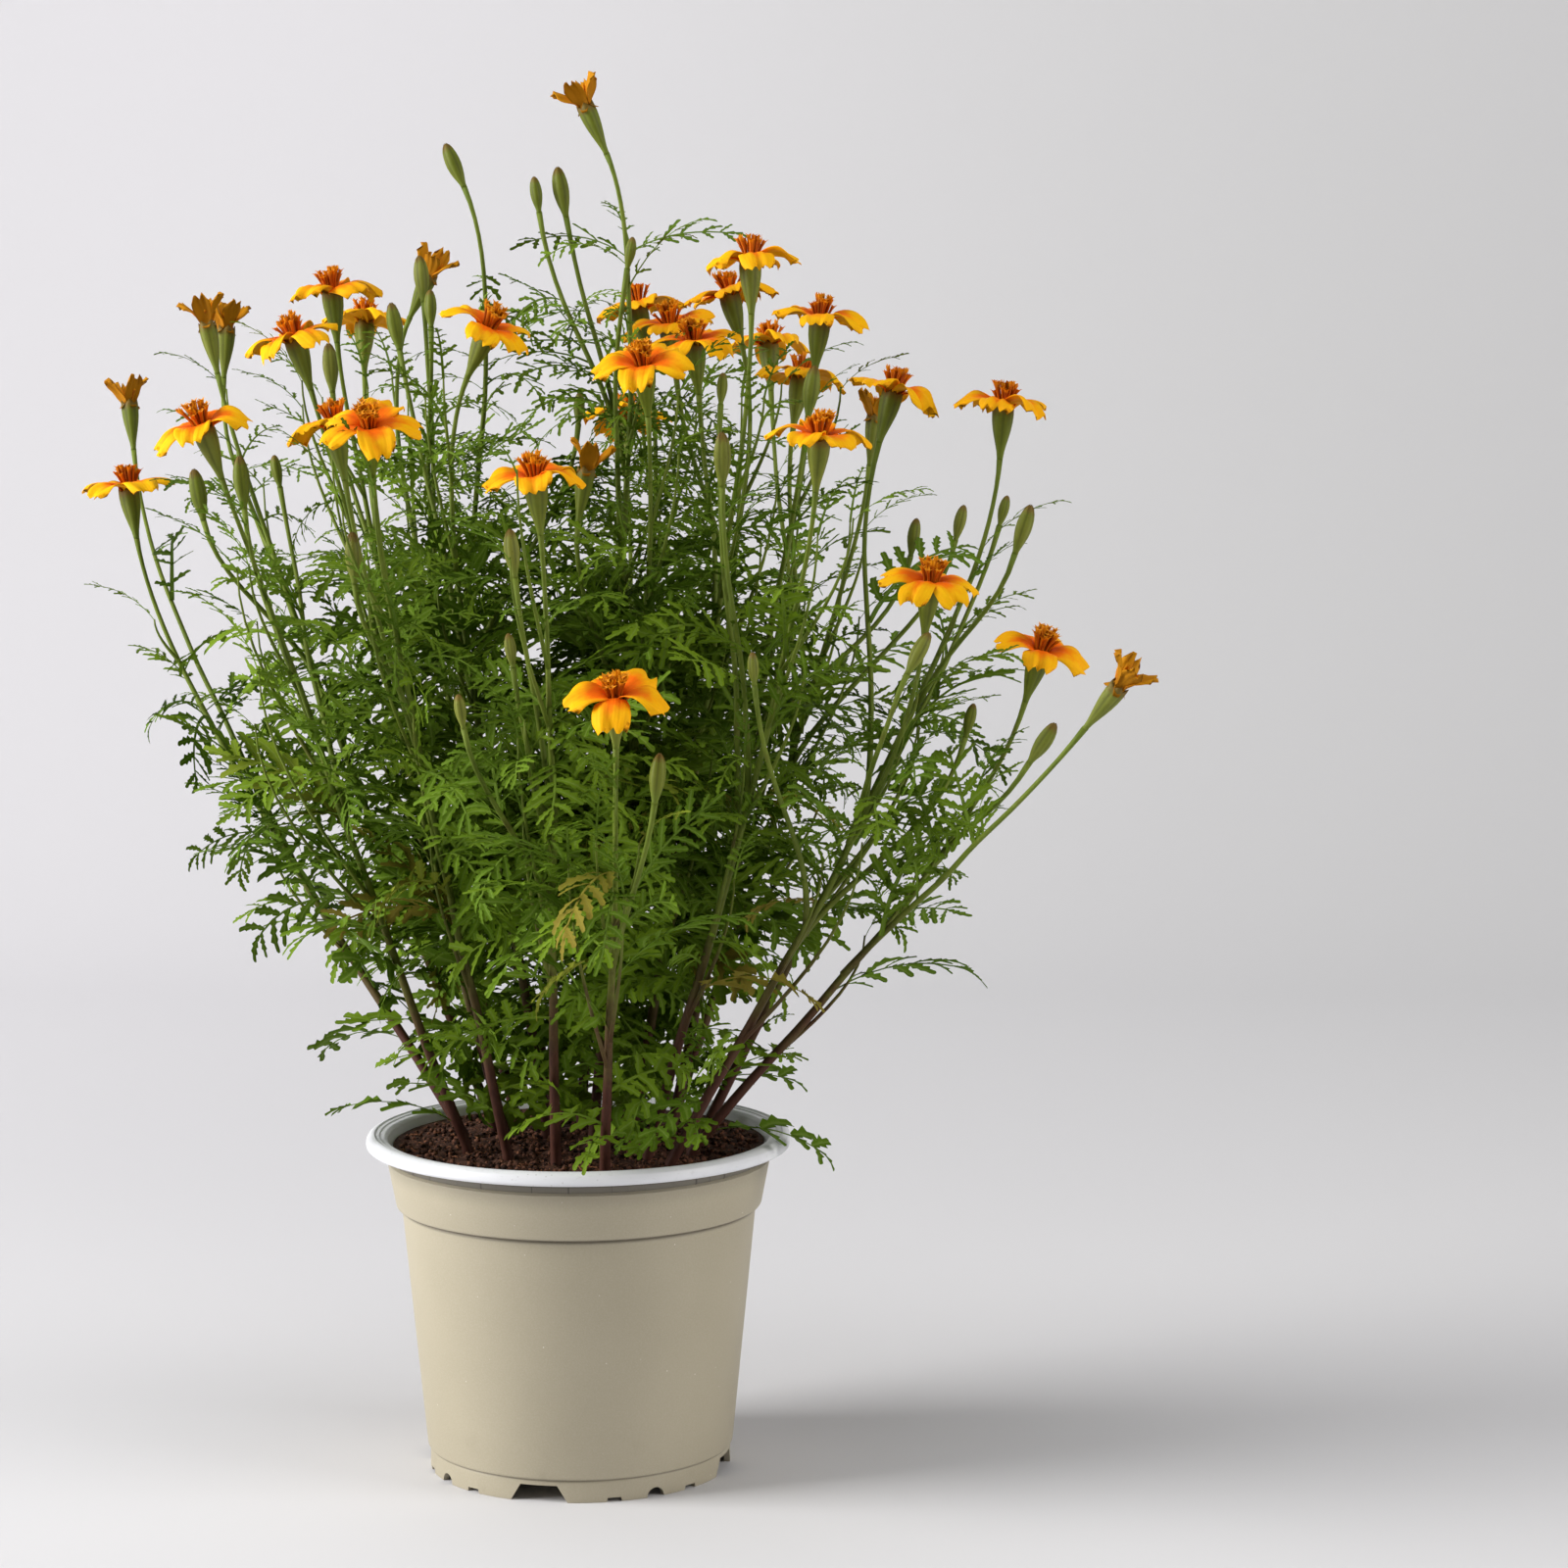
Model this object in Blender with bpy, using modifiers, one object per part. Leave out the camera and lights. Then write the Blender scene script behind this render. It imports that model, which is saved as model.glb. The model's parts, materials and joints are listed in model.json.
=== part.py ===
# Signet marigold growing in a round nursery pot, as construction solids.
# Metres, +Z up. The origin is on the floor, on the pot's axis, under the middle of the plant.
import math
import random

import bmesh
import bpy
import numpy as np
from mathutils import Matrix, Vector
from mathutils.bvhtree import BVHTree

MM = 0.001

# Driving sizes of the pot
RIM_RADIUS = 65.0 * MM
RIM_TOP = 104.0 * MM
FOOT_RADIUS = 46.2 * MM
FOOT_HEIGHT = 6.6 * MM
WALL = 1.4 * MM
GAP = 0.3 * MM
TURNED_SIDES = 32

# Driving sizes of the plant
SOIL_EDGE_HEIGHT = 98.6 * MM
SOIL_MOUND = 2.4 * MM
ROOT_DEPTH = 15.0 * MM
STEM_SIDES = 4
BASE_RADIUS = 2.0 * MM
STALK_RADIUS = 1.0 * MM
POINT_SPACING = 50.0 * MM
CUP_LENGTH = 16.0 * MM
CUP_RADIUS = 4.1 * MM
BUD_LENGTH = 16.0 * MM
PETAL_REACH = 15.2 * MM
PETAL_HALF_WIDTH = 4.6 * MM
BLADE = 0.6 * MM
LEAF_COUNT = 77
SEED = 11

# Each stem: where it leaves the soil (x, y), then its flower heads. The first head ends the main
# stem and the others branch from it. A head is its kind, the place of its top (x, y, z), how many
# degrees it leans, towards which side in degrees from +X, and for a branch how far up the main stem
# it starts. Millimetres.
STEMS = {
    "01": ((-36, 6), ("open", -146, 68, 298, 8, 180), ("half", -152, 108, 325, 12, 120, 0.42)),
    "02": (
        (-27, 15),
        ("half", -114, 25, 350, 14, 150),
        ("half", -113, 60, 349, 6, 60, 0.62),
        ("bud", -115, 0, 306, 10, 200, 0.55),
    ),
    "03": ((-33, -16), ("open", -102, -70, 320, 22, 215), ("bud", -95, -45, 311, 6, 150, 0.6)),
    "04": (
        (-21, 27),
        ("open", -78, 45, 360, 6, 200),
        ("open", -74, 105, 351, 12, 90, 0.45),
        ("bud", -82, 70, 344, 6, 140, 0.6),
    ),
    "05": ((-22, -4), ("open", -83, -10, 345, 18, 200)),
    "06": (
        (-20, -27),
        ("open", -53, -85, 320, 30, 270),
        ("open", -66, -55, 320, 10, 170, 0.5),
        ("bud", -60, -68, 290, 8, 260, 0.6),
    ),
    "07": (
        (-9, 31),
        ("half", -50, 75, 366, 30, 330),
        ("bud", -51, 50, 371, 12, 120, 0.5),
        ("bud", -40, 20, 404, 24, 170, 0.4),
    ),
    "08": ((-10, 2), ("open", -24, -25, 348, 28, 330), ("bud", -57, 20, 356, 12, 150, 0.5)),
    "09": ((0, 14), ("half", 3, 10, 415, 24, 180), ("bud", -6, 20, 397, 10, 170, 0.6)),
    "10": ((-5, -36), ("open", -6, -95, 306, 12, 250), ("bud", -15, -70, 291, 6, 170, 0.55)),
    "11": ((5, -18), ("open", 22, -40, 337, 24, 260), ("half", 5, -30, 307, 10, 20, 0.5)),
    "12": ((7, 33), ("open", 17, 55, 355, 12, 160), ("open", 11, 124, 320, 20, 90, 0.4)),
    "13": ((16, -2), ("open", 53, -15, 368, 5, 100), ("open", 36, -5, 344, 14, 250, 0.55)),
    "14": ((17, 20), ("open", 46, 40, 359, 14, 170), ("open", 28, 25, 349, 10, 230, 0.6)),
    "15": ((28, 10), ("open", 74, 20, 351, 8, 320), ("bud", 72, -20, 337, 8, 20, 0.55)),
    "16": ((22, -26), ("open", 73, -70, 317, 12, 290), ("bud", 45, -50, 318, 8, 270, 0.5)),
    "17": (
        (37, -4),
        ("open", 129, 0, 325, 4, 0),
        ("open", 96, 10, 329, 18, 30, 0.45),
        ("bud", 136, -22, 296, 18, 350, 0.6),
    ),
    "18": (
        (35, -19),
        ("open", 138, -40, 254, 20, 320),
        ("half", 154, -124, 251, 40, 330, 0.4),
        ("bud", 140, -75, 236, 35, 330, 0.62),
    ),
    "19": (
        (28, 27),
        ("half", 92, 70, 321, 8, 30),
        ("open", 58, 110, 344, 14, 100, 0.5),
        ("open", 68, 60, 333, 16, 60, 0.55),
    ),
    "20": ((10, -46), ("open", 17, -125, 248, 24, 270), ("bud", 29, -120, 232, 6, 0, 0.5)),
    "21": ((29, -36), ("open", 105, -60, 275, 12, 300), ("bud", 104, -77, 262, 30, 20, 0.6)),
}


def new_collection(name, parent=None):
    made = bpy.data.collections.new(name)
    (parent or bpy.context.scene.collection).children.link(made)
    return made


for leftover in list(bpy.data.objects):
    bpy.data.objects.remove(leftover)
MODEL = new_collection("potted_signet_marigold")
CUTTERS = new_collection("cutters")


def finish_of(name, colour, roughness):
    """A plain material in a piece's own colour."""
    made = bpy.data.materials.new(name)
    made.use_nodes = True
    shader = made.node_tree.nodes["Principled BSDF"]
    shader.inputs["Base Color"].default_value = (*colour, 1.0)
    shader.inputs["Roughness"].default_value = roughness
    shader.inputs["Metallic"].default_value = 0.0
    return made


def add_object(name, mesh, collection, material=None):
    made = bpy.data.objects.new(name, mesh)
    if material:
        mesh.materials.append(material)
    collection.objects.link(made)
    return made


def mesh_of(name, points, faces, edges=()):
    mesh = bpy.data.meshes.new(name)
    mesh.from_pydata([tuple(point) for point in points], list(edges), faces)
    return mesh


def hide_cutter(made):
    made.hide_render = True
    made.display_type = "WIRE"


def as_mesh(shape, collection):
    """A curve made a closed mesh in its place, and the curve removed."""
    bpy.context.view_layer.update()
    seen = shape.evaluated_get(bpy.context.evaluated_depsgraph_get())
    mesh = bpy.data.meshes.new_from_object(seen)
    work = bmesh.new()
    work.from_mesh(mesh)
    bmesh.ops.remove_doubles(work, verts=work.verts, dist=0.001 * MM)
    bmesh.ops.recalc_face_normals(work, faces=work.faces)
    work.to_mesh(mesh)
    work.free()
    made = add_object(shape.name, mesh, collection)
    made.matrix_world = shape.matrix_world.copy()
    bpy.data.objects.remove(shape)
    return made


def turned(name, profile, closed, material):
    """A profile of (radius, height) points turned about the pot's axis."""
    points = [(radius, 0.0, height) for radius, height in profile]
    pairs = [(at, at + 1) for at in range(len(points) - 1)]
    edges = [(near, far) for near, far in pairs if points[near][0] + points[far][0] > 0]
    if closed:
        edges.append((len(points) - 1, 0))
    made = add_object(name, mesh_of(name, points, [], edges), MODEL, material)
    screw = made.modifiers.new("turn", "SCREW")
    screw.steps = TURNED_SIDES
    screw.render_steps = TURNED_SIDES
    screw.use_merge_vertices = True
    screw.merge_threshold = 0.01 * MM
    screw.use_smooth_shade = True
    return made


def cut_away(piece, collection):
    """Take every cutter of a collection out of a piece."""
    cut = piece.modifiers.new("cut", "BOOLEAN")
    cut.operation = "DIFFERENCE"
    cut.operand_type = "COLLECTION"
    cut.collection = collection
    cut.solver = "EXACT"


def drill(collection, sides, radius, depth, place):
    """A hidden upright cylinder for cutting a plain hole."""
    bpy.ops.mesh.primitive_cylinder_add(vertices=sides, radius=radius, depth=depth, location=place)
    made = bpy.context.object
    for holder in list(made.users_collection):
        holder.objects.unlink(made)
    collection.objects.link(made)
    hide_cutter(made)


# The pot: a thin shell with a foot ring, a floor, a collar and a neck under the rim

NECK_RADIUS = RIM_RADIUS - 7.0 * MM
NECK_TOP = RIM_TOP - 4.6 * MM
COLLAR_TOP = 95.7 * MM
COLLAR_RADIUS = RIM_RADIUS - 6.35 * MM
STEP_HEIGHT = 81.6 * MM
STEP_DEPTH = 1.7 * MM
BODY_TOP_RADIUS = 54.3 * MM
FLOOR_UNDERSIDE = 5.8 * MM
FLOOR_TOP = FLOOR_UNDERSIDE + 1.5 * MM
FLOOR_RADIUS = FOOT_RADIUS - WALL + 0.7 * MM
FOOT_WALL = 1.8 * MM
DRAIN_RADIUS = 3.2 * MM
DRAIN_RING = 30.0 * MM
FIRST_NOTCH = -103
SOFT_EDGE = 0.8 * MM
DEEP_NOTCH = (9.5 * MM, 5.7 * MM, 5.2 * MM)
SHALLOW_NOTCH = (2.6 * MM, 2.1 * MM, 1.3 * MM)
ARCH_RADIUS = 2.9 * MM


def make_pot():
    profile = [
        (NECK_RADIUS, NECK_TOP),
        (NECK_RADIUS, COLLAR_TOP + SOFT_EDGE),
        (COLLAR_RADIUS, COLLAR_TOP),
        (BODY_TOP_RADIUS + STEP_DEPTH, STEP_HEIGHT + SOFT_EDGE),
        (BODY_TOP_RADIUS, STEP_HEIGHT),
        (FOOT_RADIUS + SOFT_EDGE, FOOT_HEIGHT + SOFT_EDGE),
        (FOOT_RADIUS, FOOT_HEIGHT),
        (FOOT_RADIUS, 0.0),
        (FOOT_RADIUS - FOOT_WALL, 0.0),
        (FOOT_RADIUS - FOOT_WALL, FLOOR_UNDERSIDE),
        (0.0, FLOOR_UNDERSIDE),
        (0.0, FLOOR_TOP),
        (FLOOR_RADIUS, FLOOR_TOP),
        (BODY_TOP_RADIUS - WALL, STEP_HEIGHT),
        (NECK_RADIUS - WALL, COLLAR_TOP),
        (NECK_RADIUS - WALL, NECK_TOP),
    ]
    pot = turned("pot", profile, True, finish_of("taupe plastic", (0.50, 0.46, 0.37), 0.45))
    cutters = new_collection("pot_cutters", CUTTERS)
    for quarter in range(4):
        deep = FIRST_NOTCH + 90 * quarter
        notch(cutters, deep, trapezium(*DEEP_NOTCH))
        notch(cutters, deep + 28.5, trapezium(*SHALLOW_NOTCH))
        notch(cutters, deep + 45, arch(ARCH_RADIUS))
        notch(cutters, deep + 61.5, trapezium(*SHALLOW_NOTCH))
        away = math.radians(deep + 45)
        place = (DRAIN_RING * math.cos(away), DRAIN_RING * math.sin(away), FLOOR_UNDERSIDE)
        drill(cutters, 8, DRAIN_RADIUS, 2 * FOOT_HEIGHT, place)
    cut_away(pot, cutters)


def trapezium(half_base, half_top, height):
    return [(-half_base, -1.0 * MM), (half_base, -1.0 * MM), (half_top, height), (-half_top, height)]


def arch(radius):
    """A half-round outline on short straight legs."""
    bow = [math.pi * at / 4 for at in range(5)]
    curve = [(radius * math.cos(angle), radius * math.sin(angle)) for angle in bow]
    return [(radius, -1.0 * MM)] + curve + [(-radius, -1.0 * MM)]


def notch(cutters, degrees, outline):
    """A flat outline stood up across the foot ring and pushed through it."""
    curve = bpy.data.curves.new("foot_notch", "CURVE")
    curve.dimensions = "2D"
    curve.fill_mode = "BOTH"
    curve.extrude = 5.0 * MM
    spline = curve.splines.new("POLY")
    spline.points.add(len(outline) - 1)
    for point, (across, up) in zip(spline.points, outline):
        point.co = (across, up, 0.0, 1.0)
    spline.use_cyclic_u = True
    shape = bpy.data.objects.new("foot_notch", curve)
    CUTTERS.objects.link(shape)
    angle = math.radians(degrees)
    reach = FOOT_RADIUS - FOOT_WALL / 2
    place = Matrix.Translation((reach * math.cos(angle), reach * math.sin(angle), 0.0))
    stand = Matrix.Rotation(angle + math.pi / 2, 4, "Z") @ Matrix.Rotation(math.pi / 2, 4, "X")
    shape.matrix_world = place @ stand
    hide_cutter(as_mesh(shape, cutters))


# The rim: a rolled lip over the neck, and the lining inside the wall

LIP_WIDTH = 6.6 * MM
LIP_ROUNDING = 1.2 * MM
LINING = 1.0 * MM
LINING_BOTTOM = 90.0 * MM
LINING_RADIUS = NECK_RADIUS - WALL - GAP
LINING_TAPER = (NECK_RADIUS - BODY_TOP_RADIUS) * (COLLAR_TOP - LINING_BOTTOM) / (COLLAR_TOP - STEP_HEIGHT)


def make_rim():
    lip_bottom = NECK_TOP + GAP
    inner = RIM_RADIUS - LIP_WIDTH
    profile = [
        (inner + LIP_ROUNDING, RIM_TOP),
        (RIM_RADIUS - LIP_ROUNDING, RIM_TOP - 0.25 * LIP_ROUNDING),
        (RIM_RADIUS, RIM_TOP - 2 * LIP_ROUNDING),
        (RIM_RADIUS - 0.5 * LIP_ROUNDING, lip_bottom),
        (LINING_RADIUS, lip_bottom),
        (LINING_RADIUS, COLLAR_TOP),
        (LINING_RADIUS - LINING_TAPER, LINING_BOTTOM),
        (LINING_RADIUS - LINING_TAPER - LINING, LINING_BOTTOM),
        (LINING_RADIUS - LINING, COLLAR_TOP),
        (inner + 0.25 * LIP_ROUNDING, RIM_TOP - 0.7 * LIP_ROUNDING),
    ]
    turned("pot_rim", profile, True, finish_of("pale grey plastic", (0.56, 0.57, 0.61), 0.3))


# The soil: fills the pot to just under the rim, with a plain hole for each stem

SOIL_RADIUS = LINING_RADIUS - LINING - 0.5 * MM
SOIL_TAPER = 2.7 * MM
HOLE_SIDES = 5


def soil_height(x, y):
    """The height of the mound at a place."""
    return SOIL_EDGE_HEIGHT + SOIL_MOUND * (1 - (x * x + y * y) / SOIL_RADIUS**2)


def make_soil():
    shoulder = 0.6 * SOIL_RADIUS
    floor = FLOOR_TOP + GAP
    profile = [
        (0.0, soil_height(0, 0)),
        (shoulder, soil_height(shoulder, 0)),
        (SOIL_RADIUS, SOIL_EDGE_HEIGHT),
        (SOIL_RADIUS - SOIL_TAPER, STEP_HEIGHT),
        (FLOOR_RADIUS - 0.4 * MM, floor),
        (0.0, floor),
    ]
    soil = turned("soil", profile, False, finish_of("potting soil", (0.035, 0.018, 0.012), 0.95))
    holes = new_collection("stem_holes", CUTTERS)
    for base, *_ in STEMS.values():
        x, y = base[0] * MM, base[1] * MM
        wide = (BASE_RADIUS + GAP) / math.cos(math.pi / HOLE_SIDES)
        drill(holes, HOLE_SIDES, wide, 2 * (ROOT_DEPTH + GAP), (x, y, soil_height(x, y)))
    cut_away(soil, holes)


# The stems: tubes along smooth curves, swelling into the green cups and buds

# How far along a stem's reach the two middle control points of its curve lie
MAIN_LEAVE_LEVEL, MAIN_LEAVE_UP, MAIN_ARRIVE = 0.34, 0.31, 0.30
BRANCH_CONTROL = 0.33
BRANCH_ALONG = 0.45
BRANCH_ROOT_WIDTH = 0.6
STEM_THINNING = 1.6
# How far below its cup or bud a stalk starts to turn the way that the head faces, at the most
HEAD_BEND = 45.0 * MM


def bezier(start, leave, arrive, end, amount):
    rest = 1 - amount
    near = start * rest**3 + leave * (3 * rest**2 * amount)
    return near + arrive * (3 * rest * amount**2) + end * amount**3


def head_axis(head):
    """The way a flower head faces."""
    lean, towards = math.radians(head[4]), math.radians(head[5])
    level = math.sin(lean)
    return Vector((level * math.cos(towards), level * math.sin(towards), math.cos(lean)))


def head_top(head):
    return Vector(head[1:4]) * MM


def head_length(head):
    return BUD_LENGTH if head[0] == "bud" else CUP_LENGTH


def count_for(curve):
    length = sum((curve[at + 1] - curve[at]).length for at in range(3))
    return max(3, round(length / POINT_SPACING))


def corners_of(curve):
    """The corners of the line that a stem follows, spaced evenly on its curve."""
    count = count_for(curve)
    return [bezier(*curve, at / count) for at in range(count + 1)]


def place_on(curve, amount):
    """The place part of the way along the line that a stem follows."""
    corners = corners_of(curve)
    whole = amount * (len(corners) - 1)
    at = min(int(whole), len(corners) - 2)
    return corners[at].lerp(corners[at + 1], whole - at)


def main_curve(base, head):
    """Control points of the main stem, from the soil to the foot of its cup."""
    x, y = base[0] * MM, base[1] * MM
    start = Vector((x, y, soil_height(x, y) + 1.5 * MM))
    axis = head_axis(head)
    end = head_top(head) - axis * head_length(head)
    reach = end - start
    leave = start + reach * MAIN_LEAVE_LEVEL
    leave.z = start.z + reach.z * MAIN_LEAVE_UP
    return start, leave, end - axis * min(reach.length * MAIN_ARRIVE, HEAD_BEND), end


def branch_curve(main, head):
    """Control points of a branch, from the main stem to the foot of its cup or bud."""
    start = place_on(main, head[6])
    along = (bezier(*main, head[6] + 0.02) - bezier(*main, head[6])).normalized()
    axis = head_axis(head)
    end = head_top(head) - axis * head_length(head)
    reach = end - start
    way = along * BRANCH_ALONG + reach.normalized() * (1 - BRANCH_ALONG)
    control = reach.length * BRANCH_CONTROL
    return start, start + way * control, end - axis * min(control, HEAD_BEND), end


def main_radius(amount):
    return STALK_RADIUS + (BASE_RADIUS - STALK_RADIUS) * (1 - amount) ** STEM_THINNING


HEAD_SHAPES = {
    "open": ((0.5, 0.66), (1.0, 1.0)),
    "half": ((0.5, 0.70), (1.0, 0.84)),
    "bud": ((0.45, 0.72), (0.8, 0.58), (1.0, 0.16)),
}


def head_rings(head):
    """Places and radii of the rings that swell a stalk into a cup or a bud."""
    axis, top, length = head_axis(head), head_top(head), head_length(head)
    shape = HEAD_SHAPES[head[0]]
    return [(top - axis * (length * (1 - along)), CUP_RADIUS * wide) for along, wide in shape]


def main_rings(curve, head):
    corners = corners_of(curve)
    x, y, _ = curve[0]
    rings = [(Vector((x, y, soil_height(x, y) - ROOT_DEPTH)), BASE_RADIUS)]
    rings += [(place, main_radius(at / (len(corners) - 1))) for at, place in enumerate(corners)]
    return rings + head_rings(head)


def branch_rings(curve, head):
    rings = [(place, STALK_RADIUS) for place in corners_of(curve)]
    rings[0] = (curve[0], main_radius(head[6]) * BRANCH_ROOT_WIDTH)
    return rings + head_rings(head)


def section_ring():
    """The stems' cross-section, one millimetre in radius."""
    curve = bpy.data.curves.new("stem_section", "CURVE")
    curve.dimensions = "2D"
    spline = curve.splines.new("POLY")
    spline.points.add(STEM_SIDES - 1)
    for at, point in enumerate(spline.points):
        angle = 2 * math.pi * at / STEM_SIDES
        point.co = (MM * math.cos(angle), MM * math.sin(angle), 0.0, 1.0)
    spline.use_cyclic_u = True
    made = bpy.data.objects.new("stem_section", curve)
    CUTTERS.objects.link(made)
    hide_cutter(made)
    return made


def tube(name, rings, section):
    """A closed tube through the rings' centres, as thick as they say."""
    curve = bpy.data.curves.new(name, "CURVE")
    curve.dimensions = "3D"
    curve.bevel_mode = "OBJECT"
    curve.bevel_object = section
    curve.use_fill_caps = True
    spline = curve.splines.new("POLY")
    spline.points.add(len(rings) - 1)
    for point, (place, radius) in zip(spline.points, rings):
        point.co = (*place, 1.0)
        point.radius = radius / MM
    made = bpy.data.objects.new(name, curve)
    CUTTERS.objects.link(made)
    return as_mesh(made, CUTTERS)


def grow_stems():
    """Every stem's curves and tubes, the main stem first."""
    section = section_ring()
    stems = {}
    for name, (base, first, *others) in STEMS.items():
        main = main_curve(base, first)
        curves = [main] + [branch_curve(main, head) for head in others]
        tubes = [tube("main_stem", main_rings(main, first), section)]
        for curve, head in zip(curves[1:], others):
            tubes.append(tube("branch", branch_rings(curve, head), section))
        stems["leafy_stem_" + name] = (curves, tubes)
    return stems


def fused(name, first, others, material):
    """One body made of a first piece and all that grows from it."""
    group = new_collection(name + "_pieces")
    for piece in others:
        for holder in list(piece.users_collection):
            holder.objects.unlink(piece)
        group.objects.link(piece)
    if others:
        union = first.modifiers.new("grow together", "BOOLEAN")
        union.operation = "UNION"
        union.operand_type = "COLLECTION"
        union.collection = group
        union.solver = "MANIFOLD"
    bpy.context.view_layer.update()
    seen = first.evaluated_get(bpy.context.evaluated_depsgraph_get())
    mesh = bpy.data.meshes.new_from_object(seen)
    for piece in [first, *others]:
        bpy.data.objects.remove(piece)
    bpy.data.collections.remove(group)
    mesh.materials.clear()
    made = add_object(name, mesh, MODEL, material)
    made.data.shade_smooth()
    made.data.set_sharp_from_angle(angle=math.radians(50))
    return made


def sheet(name, points, triangles):
    """A thin blade: a surface of triangles thickened alike to both sides."""
    made = add_object(name, mesh_of(name, points, triangles), CUTTERS)
    thick = made.modifiers.new("thickness", "SOLIDIFY")
    thick.thickness = BLADE
    thick.offset = 0.0
    return made


# The blooms: notched ray petals round a raised crown of tubular florets

HEART_RADIUS = 3.2 * MM
PETAL_WIDEST = 0.70
PETAL_NOTCH = 0.89
PETAL_CUPPING = 1.0 * MM
HALF_OPEN_PETAL = (11.5 * MM, 2.3 * MM, -1.0 * MM)
HALF_OPEN_SIZE = 0.75
FLORETS = 6
FLORET_FOOT = 2.3 * MM
FLORET_TIP = (3.9 * MM, 6.6 * MM)
FLORET_DIP = (2.4 * MM, 4.6 * MM)
CROWN_MIDDLE = 6.4 * MM


def petal_points(reach, half_width, droop, rise, roll, spin, inset):
    """The five outer points of a petal that grows along +X before it is lifted and turned."""
    wide = PETAL_WIDEST * reach
    flat = [
        (wide, -half_width, PETAL_CUPPING),
        (reach, -0.55 * half_width, -droop),
        (PETAL_NOTCH * reach, 0.0, -0.5 * droop),
        (reach, 0.55 * half_width, -droop),
        (wide, half_width, PETAL_CUPPING),
    ]
    hinge = Matrix.Translation((inset, 0.0, 0.0))
    lift = hinge @ Matrix.Rotation(-rise, 4, "Y") @ Matrix.Rotation(roll, 4, "X") @ hinge.inverted()
    return [Matrix.Rotation(spin, 4, "Z") @ lift @ Vector(point) for point in flat]


def petal_sheet(half_open, chance):
    """All the petals of a bloom as one surface, joined round its middle."""
    count = 4 if half_open else 5
    step = 2 * math.pi / count
    start = chance.uniform(0, step)
    inset = HEART_RADIUS * math.cos(step / 2)
    corners = [start + (at - 0.5) * step for at in range(count)]
    points = [Vector(polar(HEART_RADIUS, angle, 0.0)) for angle in corners]
    triangles = [(0, at, at + 1) for at in range(1, count - 1)]
    for at in range(count):
        spin = start + at * step + math.radians(chance.uniform(-5, 5))
        if half_open:
            shape = (*HALF_OPEN_PETAL, math.radians(chance.uniform(48, 64)), 0.0)
        else:
            size = PETAL_REACH * chance.uniform(0.9, 1.03)
            lift, roll = math.radians(chance.uniform(2, 12)), math.radians(chance.uniform(-14, 14))
            shape = (size, PETAL_HALF_WIDTH, chance.uniform(1.0, 4.5) * MM, lift, roll)
        right, left, first = at, (at + 1) % count, len(points)
        points += petal_points(*shape, spin, inset)
        triangles += [(left, right, first), (left, first, first + 4), (first + 4, first, first + 2)]
        triangles += [(first, first + 1, first + 2), (first + 4, first + 2, first + 3)]
    return points, triangles


def crown(size):
    """A cup of florets whose tips flare out round a raised middle."""
    step = math.pi / FLORETS
    ring = 2 * FLORETS
    middle = FLORETS + ring
    points = [polar(size * FLORET_FOOT, 2 * step * at, 0.25 * BLADE) for at in range(FLORETS)]
    for at in range(ring):
        out, up = FLORET_DIP if at % 2 else FLORET_TIP
        points.append(polar(size * out, step * at, size * up))
    points.append((0.0, 0.0, size * CROWN_MIDDLE))
    faces = [tuple(reversed(range(FLORETS)))]
    for at in range(FLORETS):
        near, far = at, (at + 1) % FLORETS
        tip, dip, next_tip = FLORETS + 2 * at, FLORETS + 2 * at + 1, FLORETS + (2 * at + 2) % ring
        faces += [(near, dip, tip), (near, far, dip), (far, next_tip, dip)]
        faces += [(tip, dip, middle), (dip, next_tip, middle)]
    return points, faces


def polar(radius, angle, height):
    return radius * math.cos(angle), radius * math.sin(angle), height


def make_bloom(name, head, material, chance):
    axis = head_axis(head)
    stand = axis.to_track_quat("Z", "Y").to_matrix().to_4x4()
    place = Matrix.Translation(head_top(head) + axis * GAP) @ stand
    half_open = head[0] == "half"
    points, triangles = petal_sheet(half_open, chance)
    raised = place @ Matrix.Translation((0.0, 0.0, BLADE / 2))
    petals = sheet("petals", [raised @ point for point in points], triangles)
    points, faces = crown(HALF_OPEN_SIZE if half_open else 1.0)
    middle = mesh_of("florets", [place @ Vector(point) for point in points], faces)
    fused(name, petals, [add_object("florets", middle, CUTTERS)], material)


def make_blooms():
    orange = finish_of("orange petals", (0.95, 0.42, 0.02), 0.55)
    chance = random.Random(SEED)
    number = 0
    for base, *heads in STEMS.values():
        for head in heads:
            if head[0] != "bud":
                number += 1
                make_bloom(f"bloom_{number:02d}", head, orange, chance)


# The leaves: cut to the rib on both sides, placed evenly where nothing else is in the way

GOLDEN_ANGLE = math.radians(137.5)
SITE_SPACING = 9.0 * MM
FIRST_LEAF, FIRST_BRANCH_LEAF = 8.0 * MM, 14.0 * MM
BARE_STALK = 40.0 * MM
CLEAR = 1.3 * MM
ROOT_FREE = 7.0 * MM
SAMPLE_ROWS = 7
FOLIAGE_RADIUS = 138.0 * MM
LONG_LEAF = (0.74, 1.0, 0.92, 0.68)
SHORT_LEAF = (0.82, 1.0, 0.78)
FIRST_PAIR, LAST_PAIR = 0.14, 0.80
LEAF_BEND = math.radians(60)
RIB_HALF_WIDTH, TIP_HALF_WIDTH = 0.45 * MM, 1.2 * MM
LEAFLET_REACH = 0.27
LEAFLET_FORWARD, LEAFLET_SIDEWAYS, LEAFLET_LIFT = 0.66, 0.80, 0.12
BRANCH_TURN = 1.3
RISES = (55, 35, 75, 15)
LARGEST_ROLL = math.radians(40)


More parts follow.
